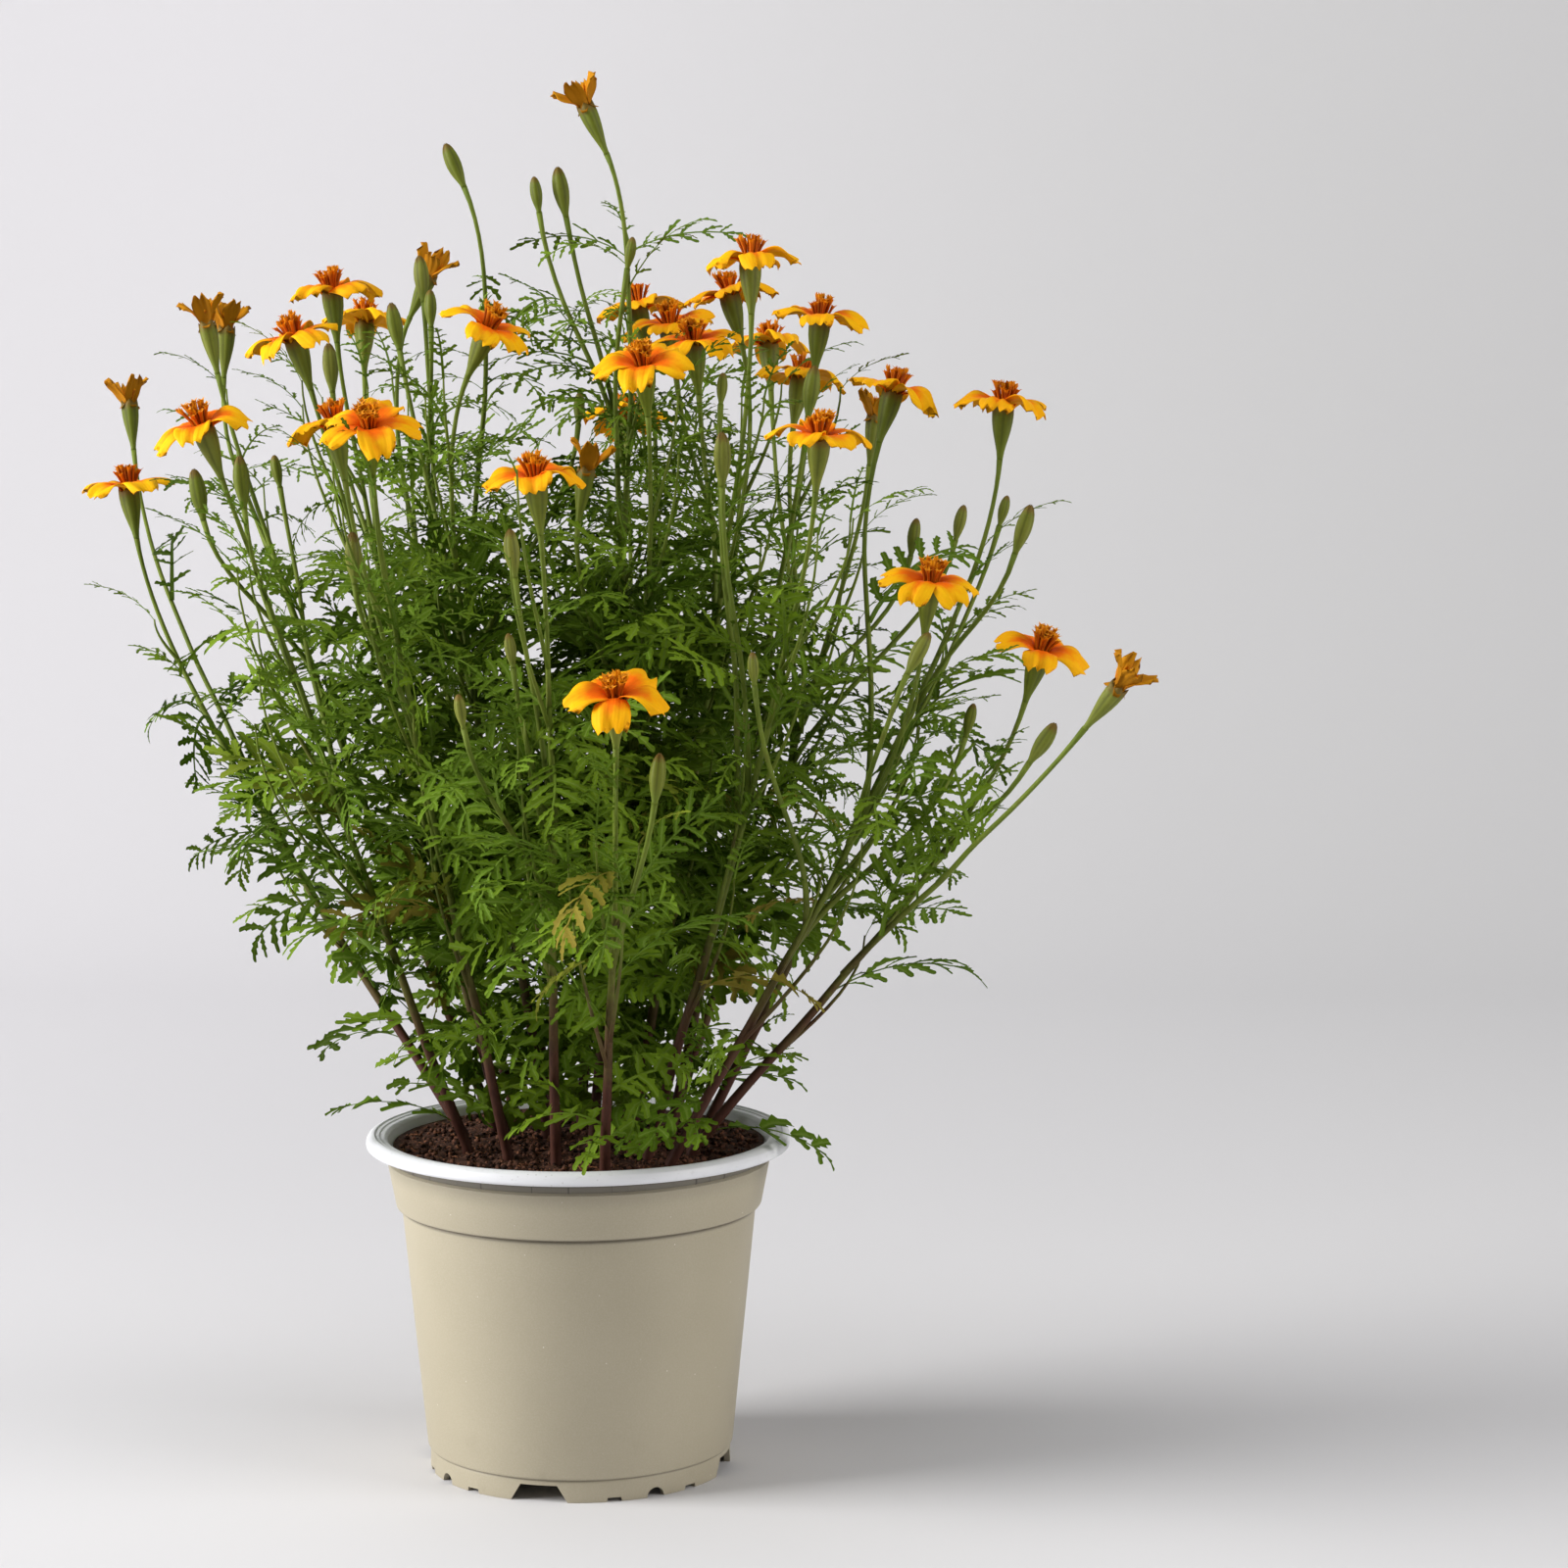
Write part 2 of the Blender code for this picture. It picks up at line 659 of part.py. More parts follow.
def leaf_size(height):
    """Length and leaflet sizes: long in the middle of the plant, short low down and near the flowers."""
    if height < 140 * MM:
        return 42 * MM, SHORT_LEAF
    return (54 * MM, LONG_LEAF) if height < 265 * MM else (40 * MM, SHORT_LEAF)


def leaf_surface(root, azimuth, roll, rise, length, leaflets):
    """Points and triangles of a pinnate leaf that arches over from its root."""
    out = Vector((math.cos(azimuth), math.sin(azimuth), 0.0))
    up = Vector((0.0, 0.0, 1.0))
    level_side = up.cross(out)

    def rib(along):
        pitch = rise - LEAF_BEND * along
        level = (math.sin(rise) - math.sin(pitch)) / LEAF_BEND
        high = (math.cos(pitch) - math.cos(rise)) / LEAF_BEND
        heading = out * math.cos(pitch) + up * math.sin(pitch)
        side = level_side * math.cos(roll) + heading.cross(level_side) * math.sin(roll)
        return root + (out * level + up * high) * length, heading, side

    pairs = len(leaflets)
    step = (LAST_PAIR - FIRST_PAIR) / pairs
    notches = [FIRST_PAIR + step * at for at in range(pairs + 1)]
    widths = [RIB_HALF_WIDTH] * (pairs + 1) + [TIP_HALF_WIDTH]
    points, triangles = [], []
    for along, half in zip([0.0] + notches, widths):
        place, _, side = rib(along)
        points += [place + side * half, place - side * half]
    for at in range(pairs + 1):
        left, right = 2 * at, 2 * at + 1
        triangles += [(left, right, right + 2), (left, right + 2, left + 2)]
    for at, shape in enumerate(leaflets):
        place, heading, side = rib(notches[at] + step * 0.4)
        reach = LEAFLET_REACH * length * shape
        middle = place + (heading * LEAFLET_FORWARD + heading.cross(side) * LEAFLET_LIFT) * reach
        outward = side * (LEAFLET_SIDEWAYS * reach)
        left, right, tip = 2 * at + 2, 2 * at + 3, len(points)
        points += [middle + outward, middle - outward]
        triangles += [(left, left + 2, tip), (right, tip + 1, right + 2)]
    last = 2 * pairs + 2
    triangles.append((last, last + 1, len(points)))
    points.append(rib(1.0)[0])
    return points, triangles


def samples_of(points, triangles):
    """Places spread over a surface of triangles, close enough together to feel what is near."""
    found = []
    for a, b, c in triangles:
        for i in range(SAMPLE_ROWS + 1):
            for j in range(SAMPLE_ROWS + 1 - i):
                u, v = i / SAMPLE_ROWS, j / SAMPLE_ROWS
                found.append(points[a] * (1 - u - v) + points[b] * u + points[c] * v)
    return found


def leaf_sites(stems):
    """Every place where a leaf could grow, with the way it would point."""
    sites = []
    for name, (curves, _) in stems.items():
        for order, curve in enumerate(curves):
            corners = corners_of(curve)
            length = sum((far - near).length for near, far in zip(corners, corners[1:]))
            first = FIRST_LEAF if order == 0 else FIRST_BRANCH_LEAF
            count = max(0, int((length - BARE_STALK - first) / SITE_SPACING))
            for at in range(count):
                place = along_corners(corners, first + at * SITE_SPACING)
                turn = order * BRANCH_TURN + at * GOLDEN_ANGLE
                roll = LARGEST_ROLL * math.sin(3 * turn)
                sites += [(name, place, turn + quarter * math.pi / 2, roll) for quarter in range(4)]
    return sites


def along_corners(corners, distance):
    """The place at a distance along a line through corners."""
    for near, far in zip(corners, corners[1:]):
        step = (far - near).length
        if distance <= step:
            return near.lerp(far, distance / step)
        distance -= step
    return corners[-1]


def middle_of(site):
    """About where the middle of a leaf from this site would be."""
    _, place, azimuth, _ = site
    reach = 0.6 * leaf_size(place.z)[0]
    return place + Vector((math.cos(azimuth), math.sin(azimuth), 0.35)) * reach


def obstacle(owner, piece):
    """A placed surface, with its box, that later leaves stay clear of."""
    bpy.context.view_layer.update()
    tree = BVHTree.FromObject(piece, bpy.context.evaluated_depsgraph_get())
    seen = piece.evaluated_get(bpy.context.evaluated_depsgraph_get())
    corners = [Vector(corner) for corner in seen.bound_box]
    low = Vector([min(corner[k] for corner in corners) - CLEAR for k in range(3)])
    high = Vector([max(corner[k] for corner in corners) + CLEAR for k in range(3)])
    return owner, tree, low, high


def is_clear(samples, root, owner, obstacles):
    """Whether nothing is near the samples, apart from the leaf's own stem close to its root."""
    low = Vector([min(point[k] for point in samples) for k in range(3)])
    high = Vector([max(point[k] for point in samples) for k in range(3)])
    for name, tree, box_low, box_high in obstacles:
        if any(high[k] < box_low[k] or low[k] > box_high[k] for k in range(3)):
            continue
        for point in samples:
            if name == owner and (point - root).length < ROOT_FREE:
                continue
            if tree.find_nearest(point, CLEAR)[0] is not None:
                return False
    return True


def grow_leaves(stems):
    """Leaves for each stem, each next one as far as can be from those before it."""
    obstacles = [obstacle(name, piece) for name, (_, tubes) in stems.items() for piece in tubes]
    obstacles += [obstacle("", piece) for piece in MODEL.objects]
    sites = leaf_sites(stems)
    middles = np.array([middle_of(site) for site in sites])
    spacing = np.linalg.norm(middles[:, :2], axis=1) / 10
    leaves = {name: [] for name in stems}
    placed = 0
    while placed < LEAF_COUNT and spacing.max() > 0:
        chosen = int(spacing.argmax())
        name, root, azimuth, roll = sites[chosen]
        spacing[chosen] = 0
        for rise in RISES:
            size = leaf_size(root.z)
            points, triangles = leaf_surface(root, azimuth, roll, math.radians(rise), *size)
            if math.hypot(points[-1].x, points[-1].y) > FOLIAGE_RADIUS:
                continue
            samples = samples_of(points, triangles)
            if is_clear(samples[::11], root, name, obstacles) and is_clear(samples, root, name, obstacles):
                leaf = sheet("leaf", points, triangles)
                leaves[name].append(leaf)
                obstacles.append(obstacle(name, leaf))
                away = np.linalg.norm(middles - middles[chosen], axis=1)
                spacing = np.minimum(spacing, away) if placed else np.where(spacing > 0, away, 0)
                placed += 1
                break
    return leaves


make_pot()
make_rim()
make_soil()
grown = grow_stems()
make_blooms()
foliage = grow_leaves(grown)
green = finish_of("green leaves and stems", (0.10, 0.20, 0.035), 0.6)
for stem_name, (_, stem_tubes) in grown.items():
    fused(stem_name, stem_tubes[0], stem_tubes[1:] + foliage[stem_name], green)
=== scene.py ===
# The looks of a signet marigold that grows in a round nursery pot: the finish of the pot, its rim and
# its soil, and the plant's stems, cut leaves, cups, buds and flowers in full detail.
import json
import math
import random

import bpy
import numpy as np
from mathutils import Matrix, Vector, noise
from mathutils.bvhtree import BVHTree

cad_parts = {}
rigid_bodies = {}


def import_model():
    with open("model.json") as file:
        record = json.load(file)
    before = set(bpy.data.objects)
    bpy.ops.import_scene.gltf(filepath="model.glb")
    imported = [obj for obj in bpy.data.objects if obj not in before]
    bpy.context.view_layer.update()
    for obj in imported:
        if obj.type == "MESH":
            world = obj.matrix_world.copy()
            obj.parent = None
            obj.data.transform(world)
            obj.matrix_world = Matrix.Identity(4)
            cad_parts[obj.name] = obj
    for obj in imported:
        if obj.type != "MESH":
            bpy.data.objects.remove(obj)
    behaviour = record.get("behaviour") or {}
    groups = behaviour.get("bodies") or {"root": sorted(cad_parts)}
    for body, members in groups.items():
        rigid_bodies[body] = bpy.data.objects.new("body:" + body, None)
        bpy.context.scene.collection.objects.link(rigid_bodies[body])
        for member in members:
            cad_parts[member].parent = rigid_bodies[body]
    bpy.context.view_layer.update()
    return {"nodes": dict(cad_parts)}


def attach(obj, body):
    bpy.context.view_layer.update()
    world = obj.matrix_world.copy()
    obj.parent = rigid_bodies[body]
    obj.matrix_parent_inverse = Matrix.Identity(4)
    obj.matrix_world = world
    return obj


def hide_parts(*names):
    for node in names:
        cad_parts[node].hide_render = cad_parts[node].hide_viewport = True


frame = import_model()
MM = 0.001


# The pot is one thin shell of taupe plastic, injection moulded: a tapered wall with a step and a
# collar, a neck that the rim fits over, a floor with drain holes, and a notched foot ring.

RIM_RADIUS = 65.0 * MM
RIM_TOP = 104.0 * MM
NECK_RADIUS = RIM_RADIUS - 7.0 * MM
NECK_TOP = RIM_TOP - 4.6 * MM
NECK_BOTTOM = 96.2 * MM
COLLAR_TOP = 95.7 * MM
COLLAR_RADIUS = RIM_RADIUS - 6.35 * MM
STEP_HEIGHT = 81.6 * MM
STEP_DEPTH = 1.7 * MM
BODY_TOP_RADIUS = 54.3 * MM
FOOT_RADIUS = 46.2 * MM
FOOT_HEIGHT = 6.6 * MM
FOOT_WALL = 1.8 * MM
FLOOR_UNDERSIDE = 5.8 * MM
FLOOR_TOP = 7.3 * MM
WALL = 1.4 * MM
GAP = 0.3 * MM
GROOVE = 0.45 * MM
DRAIN_RADIUS = 3.2 * MM
DRAIN_RING = 30.0 * MM
FIRST_NOTCH = -103
DEEP_NOTCH = (9.5 * MM, 5.7 * MM, 5.2 * MM)
SHALLOW_NOTCH = (2.6 * MM, 2.1 * MM, 1.3 * MM)
ARCH_RADIUS = 2.9 * MM
# How far the shallow and the arched notches are from the last deep one, in degrees
SHALLOW_TURN, ARCH_TURN = 28.5, 45
NOTCH_DEPTH = 5.0 * MM
POT_SIDES = 160
EDGE_ROUNDING = 0.25 * MM


class Socket:
    """A shader socket that can stand in a sum."""

    def __init__(self, finish, link):
        self.finish, self.link = finish, link

    def sum(self, operation, *terms):
        return self.finish.node("ShaderNodeMath", {"operation": operation}, *terms)

    def __add__(self, other):
        return self.sum("ADD", self, other)

    def __sub__(self, other):
        return self.sum("SUBTRACT", self, other)

    def __rsub__(self, other):
        return self.sum("SUBTRACT", other, self)

    def __mul__(self, other):
        return self.sum("MULTIPLY", self, other)

    __radd__ = __add__
    __rmul__ = __mul__


class Finish:
    """A material, the nodes that feed its Principled shader, and the place of each point in metres."""

    def __init__(self, name, **constants):
        self.material = bpy.data.materials.new(name)
        self.material.use_nodes = True
        self.tree = self.material.node_tree
        self.shader = self.tree.nodes["Principled BSDF"]
        self.place = self.node("ShaderNodeTexCoord", {}, output=3)
        self.feed(**constants)

    def plug(self, socket, value):
        if isinstance(value, Socket):
            self.tree.links.new(value.link, socket)
        elif socket.type == "RGBA":
            socket.default_value = (*value, 1.0)
        else:
            socket.default_value = value

    def feed(self, **values):
        for name, value in values.items():
            self.plug(self.shader.inputs[name.replace("_", " ")], value)

    def node(self, kind, settings, *values, output=0, **named):
        made = self.tree.nodes.new(kind)
        for name, value in settings.items():
            setattr(made, name, value)
        for socket, value in zip(made.inputs, values):
            if value is not None:
                self.plug(socket, value)
        for name, value in named.items():
            self.plug(made.inputs[name.replace("_", " ")], value)
        return Socket(self, made.outputs[output])

    def blend(self, amount, first, second):
        """The first colour where amount is 0, and the second where it is 1."""
        unused = [None] * 5
        settings = {"data_type": "RGBA"}
        return self.node("ShaderNodeMix", settings, amount, *unused, first, second, output=2)

    def ease(self, value, low, high):
        """0 below low, 1 above high, and smooth between."""
        settings = {"interpolation_type": "SMOOTHSTEP"}
        return self.node("ShaderNodeMapRange", settings, value, low, high, 0.0, 1.0)

    def axes(self):
        """The x, y and z of a point."""
        outputs = self.node("ShaderNodeSeparateXYZ", {}, self.place).link.node.outputs
        return [Socket(self, outputs[axis]) for axis in range(3)]

    def squeeze(self, height):
        """The place with its height scaled, for patches that are flattened or drawn out."""
        return self.node("ShaderNodeVectorMath", {"operation": "MULTIPLY"}, self.place, (1.0, 1.0, height))

    def speckle(self, size, detail=2.0, place=None):
        """Soft noise from 0 to 1 whose patches are about this size, in metres."""
        place = place or self.place
        return self.node("ShaderNodeTexNoise", {}, Vector=place, Scale=1 / size, Detail=detail)

    def cells(self, size):
        """How far a point is from the middle of its cell, for grains and dots of this size."""
        return self.node("ShaderNodeTexVoronoi", {}, Vector=self.place, Scale=1 / size)

    def painted(self, name):
        """A value that a mesh carries at its points."""
        return self.node("ShaderNodeAttribute", {"attribute_name": name}, output=2)

    def bump(self, height, depth, strength=1.0):
        self.feed(Normal=self.node("ShaderNodeBump", {}, Height=height, Distance=depth, Strength=strength))


def put(name, data):
    """An object in the scene."""
    made = bpy.data.objects.new(name, data)
    bpy.context.scene.collection.objects.link(made)
    return made


def add_piece(name, mesh, materials, slot, *nodes):
    """A piece of the plant or pot that stands for CAD nodes."""
    for material in materials:
        mesh.materials.append(material)
    piece = put(name, mesh)
    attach(piece, "root")
    if nodes:
        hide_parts(*nodes)
    return piece


def softened(profile, radius):
    """A closed outline with each corner rounded, as far as its edges allow."""
    made = []
    for before, corner, after in zip(profile[-1:] + profile[:-1], profile, profile[1:] + profile[:1]):
        corner, sides = Vector(corner), [Vector(before), Vector(after)]
        if corner.x <= 0:
            made.append(tuple(corner))
            continue
        ends = []
        for side in sides:
            reach = min(radius, 0.4 * (side - corner).length)
            ends.append(corner + (side - corner).normalized() * reach)
        for amount in (0.0, 0.33, 0.67, 1.0):
            first, second = ends[0].lerp(corner, amount), corner.lerp(ends[1], amount)
            made.append(tuple(first.lerp(second, amount)))
    return made


def turned_mesh(name, profile, cutters=None):
    """A closed outline of (radius, height) points turned about the pot's axis."""
    mesh = bpy.data.meshes.new(name)
    edges = []
    for at in range(len(profile)):
        after = (at + 1) % len(profile)
        if profile[at][0] + profile[after][0] > 0:
            edges.append((at, after))
    mesh.from_pydata([(radius, 0.0, height) for radius, height in profile], edges, [])
    blank = put(name, mesh)
    screw = blank.modifiers.new("turn", "SCREW")
    screw.steps = screw.render_steps = POT_SIDES
    screw.use_merge_vertices = True
    screw.merge_threshold = 0.01 * MM
    if cutters:
        cut = blank.modifiers.new("cut", "BOOLEAN")
        cut.operation = "DIFFERENCE"
        cut.operand_type = "COLLECTION"
        cut.collection = cutters
        cut.solver = "EXACT"
    bpy.context.view_layer.update()
    seen = blank.evaluated_get(bpy.context.evaluated_depsgraph_get())
    made = bpy.data.meshes.new_from_object(seen)
    bpy.data.objects.remove(blank)
    made.shade_smooth()
    made.set_sharp_from_angle(angle=math.radians(40))
    return made


def prism(outline, depth, stand, cutters):
    """A cutter: an outline of (across, up) points pushed out to both sides."""
    count = len(outline)
    points = [stand @ Vector((across, up, side * depth)) for side in (-1, 1) for across, up in outline]
    faces = [tuple(reversed(range(count))), tuple(range(count, 2 * count))]
    faces += [(at, (at + 1) % count, count + (at + 1) % count, count + at) for at in range(count)]
    mesh = bpy.data.meshes.new("cutter")
    mesh.from_pydata(points, [], faces)
    cutters.objects.link(bpy.data.objects.new("cutter", mesh))


def polar(radius, angle):
    """The two coordinates of a point at this angle."""
    return radius * math.cos(angle), radius * math.sin(angle)


def arc(radius, steps, turn):
    return [polar(radius, turn * at / steps) for at in range(steps + 1)]


def make_pot_mesh():
    cutters = bpy.data.collections.new("pot_cutters")
    bpy.context.scene.collection.children.link(cutters)

    def notch(degrees, outline):
        angle = math.radians(degrees)
        place = Matrix.Translation((*polar(FOOT_RADIUS - FOOT_WALL / 2, angle), 0.0))
        turn = Matrix.Rotation(angle + math.pi / 2, 4, "Z") @ Matrix.Rotation(math.pi / 2, 4, "X")
        prism(outline, NOTCH_DEPTH, place @ turn, cutters)

    def trapezium(half_base, half_top, height):
        return [(-half_base, -MM), (half_base, -MM), (half_top, height), (-half_top, height)]

    bow = arc(ARCH_RADIUS, 12, math.pi)
    for quarter in range(4):
        deep = FIRST_NOTCH + 90 * quarter
        notch(deep, trapezium(*DEEP_NOTCH))
        notch(deep + SHALLOW_TURN, trapezium(*SHALLOW_NOTCH))
        notch(deep + ARCH_TURN, [(ARCH_RADIUS, -MM), *bow, (-ARCH_RADIUS, -MM)])
        notch(deep + 90 - SHALLOW_TURN, trapezium(*SHALLOW_NOTCH))
        place = Matrix.Translation((*polar(DRAIN_RING, math.radians(deep + ARCH_TURN)), FLOOR_UNDERSIDE))
        prism(arc(DRAIN_RADIUS, 23, math.tau * 23 / 24), FOOT_HEIGHT, place, cutters)
    profile = [
        (NECK_RADIUS, NECK_TOP),
        (NECK_RADIUS, NECK_BOTTOM + GROOVE),
        (NECK_RADIUS - GROOVE, NECK_BOTTOM),
        (COLLAR_RADIUS, COLLAR_TOP),
        (BODY_TOP_RADIUS + STEP_DEPTH, STEP_HEIGHT + 0.5 * MM),
        (BODY_TOP_RADIUS + STEP_DEPTH - 0.4 * MM, STEP_HEIGHT),
        (BODY_TOP_RADIUS - GROOVE, STEP_HEIGHT),
        (BODY_TOP_RADIUS - GROOVE, STEP_HEIGHT - GROOVE),
        (BODY_TOP_RADIUS - 0.1 * MM, STEP_HEIGHT - 2 * GROOVE),
        (FOOT_RADIUS + 0.8 * MM, FOOT_HEIGHT + 1.0 * MM),
        (FOOT_RADIUS + 0.5 * MM, FOOT_HEIGHT + 0.4 * MM),
        (FOOT_RADIUS - 0.3 * MM, FOOT_HEIGHT + 0.3 * MM),
        (FOOT_RADIUS, FOOT_HEIGHT - 0.4 * MM),
        (FOOT_RADIUS, 0.0),
        (FOOT_RADIUS - FOOT_WALL, 0.0),
        (FOOT_RADIUS - FOOT_WALL, FLOOR_UNDERSIDE),
        (0.0, FLOOR_UNDERSIDE),
        (0.0, FLOOR_TOP),
        (FOOT_RADIUS - WALL + 0.7 * MM, FLOOR_TOP),
        (BODY_TOP_RADIUS - WALL, STEP_HEIGHT),
        (NECK_RADIUS - WALL, COLLAR_TOP),
        (NECK_RADIUS - WALL, NECK_TOP),
    ]
    mesh = turned_mesh("pot", softened(profile, EDGE_ROUNDING), cutters)
    for cutter in list(cutters.objects):
        bpy.data.objects.remove(cutter)
    bpy.data.collections.remove(cutters)
    return mesh


def make_taupe_plastic():
    taupe = Finish("taupe_plastic", IOR=1.46, Specular_IOR_Level=0.45)
    x, y, z = taupe.axes()
    cloud = taupe.speckle(60 * MM, 3.0)
    grain = taupe.speckle(0.45 * MM, 3.0)
    pits = taupe.speckle(1.6 * MM, 2.0)
    colour = taupe.blend(taupe.ease(cloud, 0.3, 0.7), (0.408, 0.364, 0.264), (0.445, 0.398, 0.292))
    colour = taupe.blend(taupe.ease(grain, 0.35, 0.75) * 0.16, colour, (0.60, 0.56, 0.46))
    grains = taupe.speckle(3.0 * MM, 0.0)
    fleck = taupe.ease(taupe.cells(4.2 * MM), 0.060, 0.035) * taupe.ease(grains, 0.52, 0.60)
    colour = taupe.blend(fleck * 0.8, colour, (0.80, 0.78, 0.72))
    dust = taupe.ease(taupe.speckle(11 * MM, 5.0), 0.56, 0.78) * taupe.ease(z, 0.030, 0.002)
    colour = taupe.blend(dust * 0.30, colour, (0.28, 0.235, 0.17))
    # Painted shade: a dark band in the groove under the collar's step, where the overhang's shadow falls
    step_painted_shade = taupe.ease(z, STEP_HEIGHT - 1.7 * MM, STEP_HEIGHT - 0.8 * MM)
    step_painted_shade = step_painted_shade * taupe.ease(z, STEP_HEIGHT + 0.5 * MM, STEP_HEIGHT + 0.1 * MM)
    colour = taupe.blend(step_painted_shade * 0.6, colour, (0.15, 0.132, 0.105))
    # Painted shade: a dark line in the groove over the foot ring
    foot_painted_shade = taupe.ease(z, FOOT_HEIGHT - 0.3 * MM, FOOT_HEIGHT) * taupe.ease(z, 7.4 * MM, 7.0 * MM)
    colour = taupe.blend(foot_painted_shade * 0.5, colour, (0.17, 0.150, 0.120))
    # Painted shade: the collar darkens towards its top, as if in the shadow of the rim's lip
    rim_painted_shade = taupe.ease(z, COLLAR_TOP - 6.0 * MM, COLLAR_TOP)
    colour = taupe.blend(rim_painted_shade * 0.28, colour, (0.17, 0.152, 0.115))
    # Painted shade: the neck band above its groove is darkened as if in the lip's shadow, and the same mask
    # keeps the ticks to the neck
    line = taupe.ease(z, NECK_BOTTOM - 0.1 * MM, NECK_BOTTOM + 0.3 * MM)
    colour = taupe.blend(line * 0.75, colour, (0.11, 0.102, 0.088))
    shadow_gap = taupe.ease(z, NECK_TOP - 1.5 * MM, NECK_TOP - 0.9 * MM)
    colour = taupe.blend(shadow_gap * 0.92, colour, (0.020, 0.018, 0.015))
    angle = taupe.node("ShaderNodeMath", {"operation": "ARCTAN2"}, y, x)
    around = taupe.node("ShaderNodeCombineXYZ", {}, angle * 9.0, 0.0, 0.0)
    tick = taupe.ease(taupe.speckle(0.35, 4.0, around), 0.58, 0.64)
    colour = taupe.blend(tick * line * 0.75, colour, (0.05, 0.045, 0.038))
    taupe.feed(Base_Color=colour, Roughness=0.46 + 0.12 * grain + 0.10 * dust)
    taupe.bump(grain * 0.35 + pits * 0.30 + tick * line * 0.8, 0.35 * MM, 0.35)
    return taupe.material


add_piece("nursery_pot", make_pot_mesh(), [make_taupe_plastic()], "pot_body", "pot")


# The rim is a separate ring of pale grey plastic: a rolled lip over the neck with fine turned steps
# on top, and a thin lining that hangs down inside the wall to below the soil's edge.

LIP_WIDTH = 6.6 * MM
LIP_ROUNDING = 0.35 * MM
LINING = 1.0 * MM
LINING_BOTTOM = 90.0 * MM
LINING_RADIUS = NECK_RADIUS - WALL - GAP
LINING_TAPER = (NECK_RADIUS - BODY_TOP_RADIUS) * (COLLAR_TOP - LINING_BOTTOM) / (COLLAR_TOP - STEP_HEIGHT)


def make_rim_mesh():
    lip_bottom = NECK_TOP + GAP
    inner = RIM_RADIUS - LIP_WIDTH
    top = [
        (RIM_RADIUS - 0.35 * MM, RIM_TOP - 1.1 * MM),
        (RIM_RADIUS - 1.5 * MM, RIM_TOP - 0.25 * MM),
        (RIM_RADIUS - 2.5 * MM, RIM_TOP),
        (RIM_RADIUS - 2.9 * MM, RIM_TOP - 0.45 * MM),
        (RIM_RADIUS - 4.0 * MM, RIM_TOP - 0.40 * MM),
        (RIM_RADIUS - 4.3 * MM, RIM_TOP - 0.75 * MM),
        (inner + 1.0 * MM, RIM_TOP - 0.8 * MM),
        (inner, RIM_TOP - 1.6 * MM),
    ]
    profile = [
        (RIM_RADIUS - 0.6 * MM, lip_bottom),
        (RIM_RADIUS, lip_bottom + 0.7 * MM),
        (RIM_RADIUS, RIM_TOP - 2.3 * MM),
        *top,
        (LINING_RADIUS - LINING, COLLAR_TOP),
        (LINING_RADIUS - LINING_TAPER - LINING, LINING_BOTTOM),
        (LINING_RADIUS - LINING_TAPER, LINING_BOTTOM),
        (LINING_RADIUS, COLLAR_TOP),
        (LINING_RADIUS, lip_bottom),
    ]
    return turned_mesh("pot_rim", softened(profile, LIP_ROUNDING))


def make_grey_plastic():
    grey = Finish("pale_grey_plastic", IOR=1.46)
    z = grey.axes()[2]
    cloud = grey.speckle(25 * MM, 4.0)
    scuff = grey.ease(grey.speckle(2.2 * MM, 6.0, grey.squeeze(3.0)), 0.60, 0.72)
    colour = grey.blend(grey.ease(cloud, 0.3, 0.7), (0.745, 0.760, 0.805), (0.820, 0.832, 0.872))
    crumbs = grey.ease(grey.cells(1.9 * MM), 0.17, 0.10) * grey.ease(cloud, 0.58, 0.70)
    inside = grey.ease(z, 0.1010, 0.0985)
    colour = grey.blend(scuff * 0.10 + crumbs * 0.30, colour, (0.22, 0.19, 0.16))
    colour = grey.blend(inside * grey.ease(cloud, 0.40, 0.65) * 0.35, colour, (0.16, 0.12, 0.09))
    grey.feed(Base_Color=colour, Roughness=0.30 + 0.22 * cloud + 0.15 * scuff)
    grey.bump(grey.speckle(0.5 * MM, 2.0) * 0.2 + scuff * 0.15, 0.3 * MM, 0.5)
    return grey.material


add_piece("rolled_rim", make_rim_mesh(), [make_grey_plastic()], "rim", "pot_rim")


# The soil is dark peat that fills the pot to just under the rim, slightly mounded: a crumbly top with
# loose clods, short red-brown fibres and a few pale grains lying on it.

SOIL_EDGE_HEIGHT = 98.6 * MM
SOIL_MOUND = 2.4 * MM
SOIL_RADIUS = LINING_RADIUS - LINING - 0.5 * MM
SOIL_TAPER = 2.7 * MM
TOP_SOIL_RADIUS = 56.9 * MM
EDGE_RISE = 1.8 * MM
LUMP_SIZE, LUMP_HEIGHT = 9 * MM, 1.0 * MM
CRUMB_SIZE, CRUMB_HEIGHT = 3.2 * MM, 1.1 * MM
SOIL_SEED = 5
SOIL_RINGS, SOIL_SPOKES = 84, 260
CLODS, CLOD_RINGS, CLOD_SIDES = 1500, 4, 6
FIBRES, FIBRE_STEPS, FIBRE_SIDES = 90, 5, 4


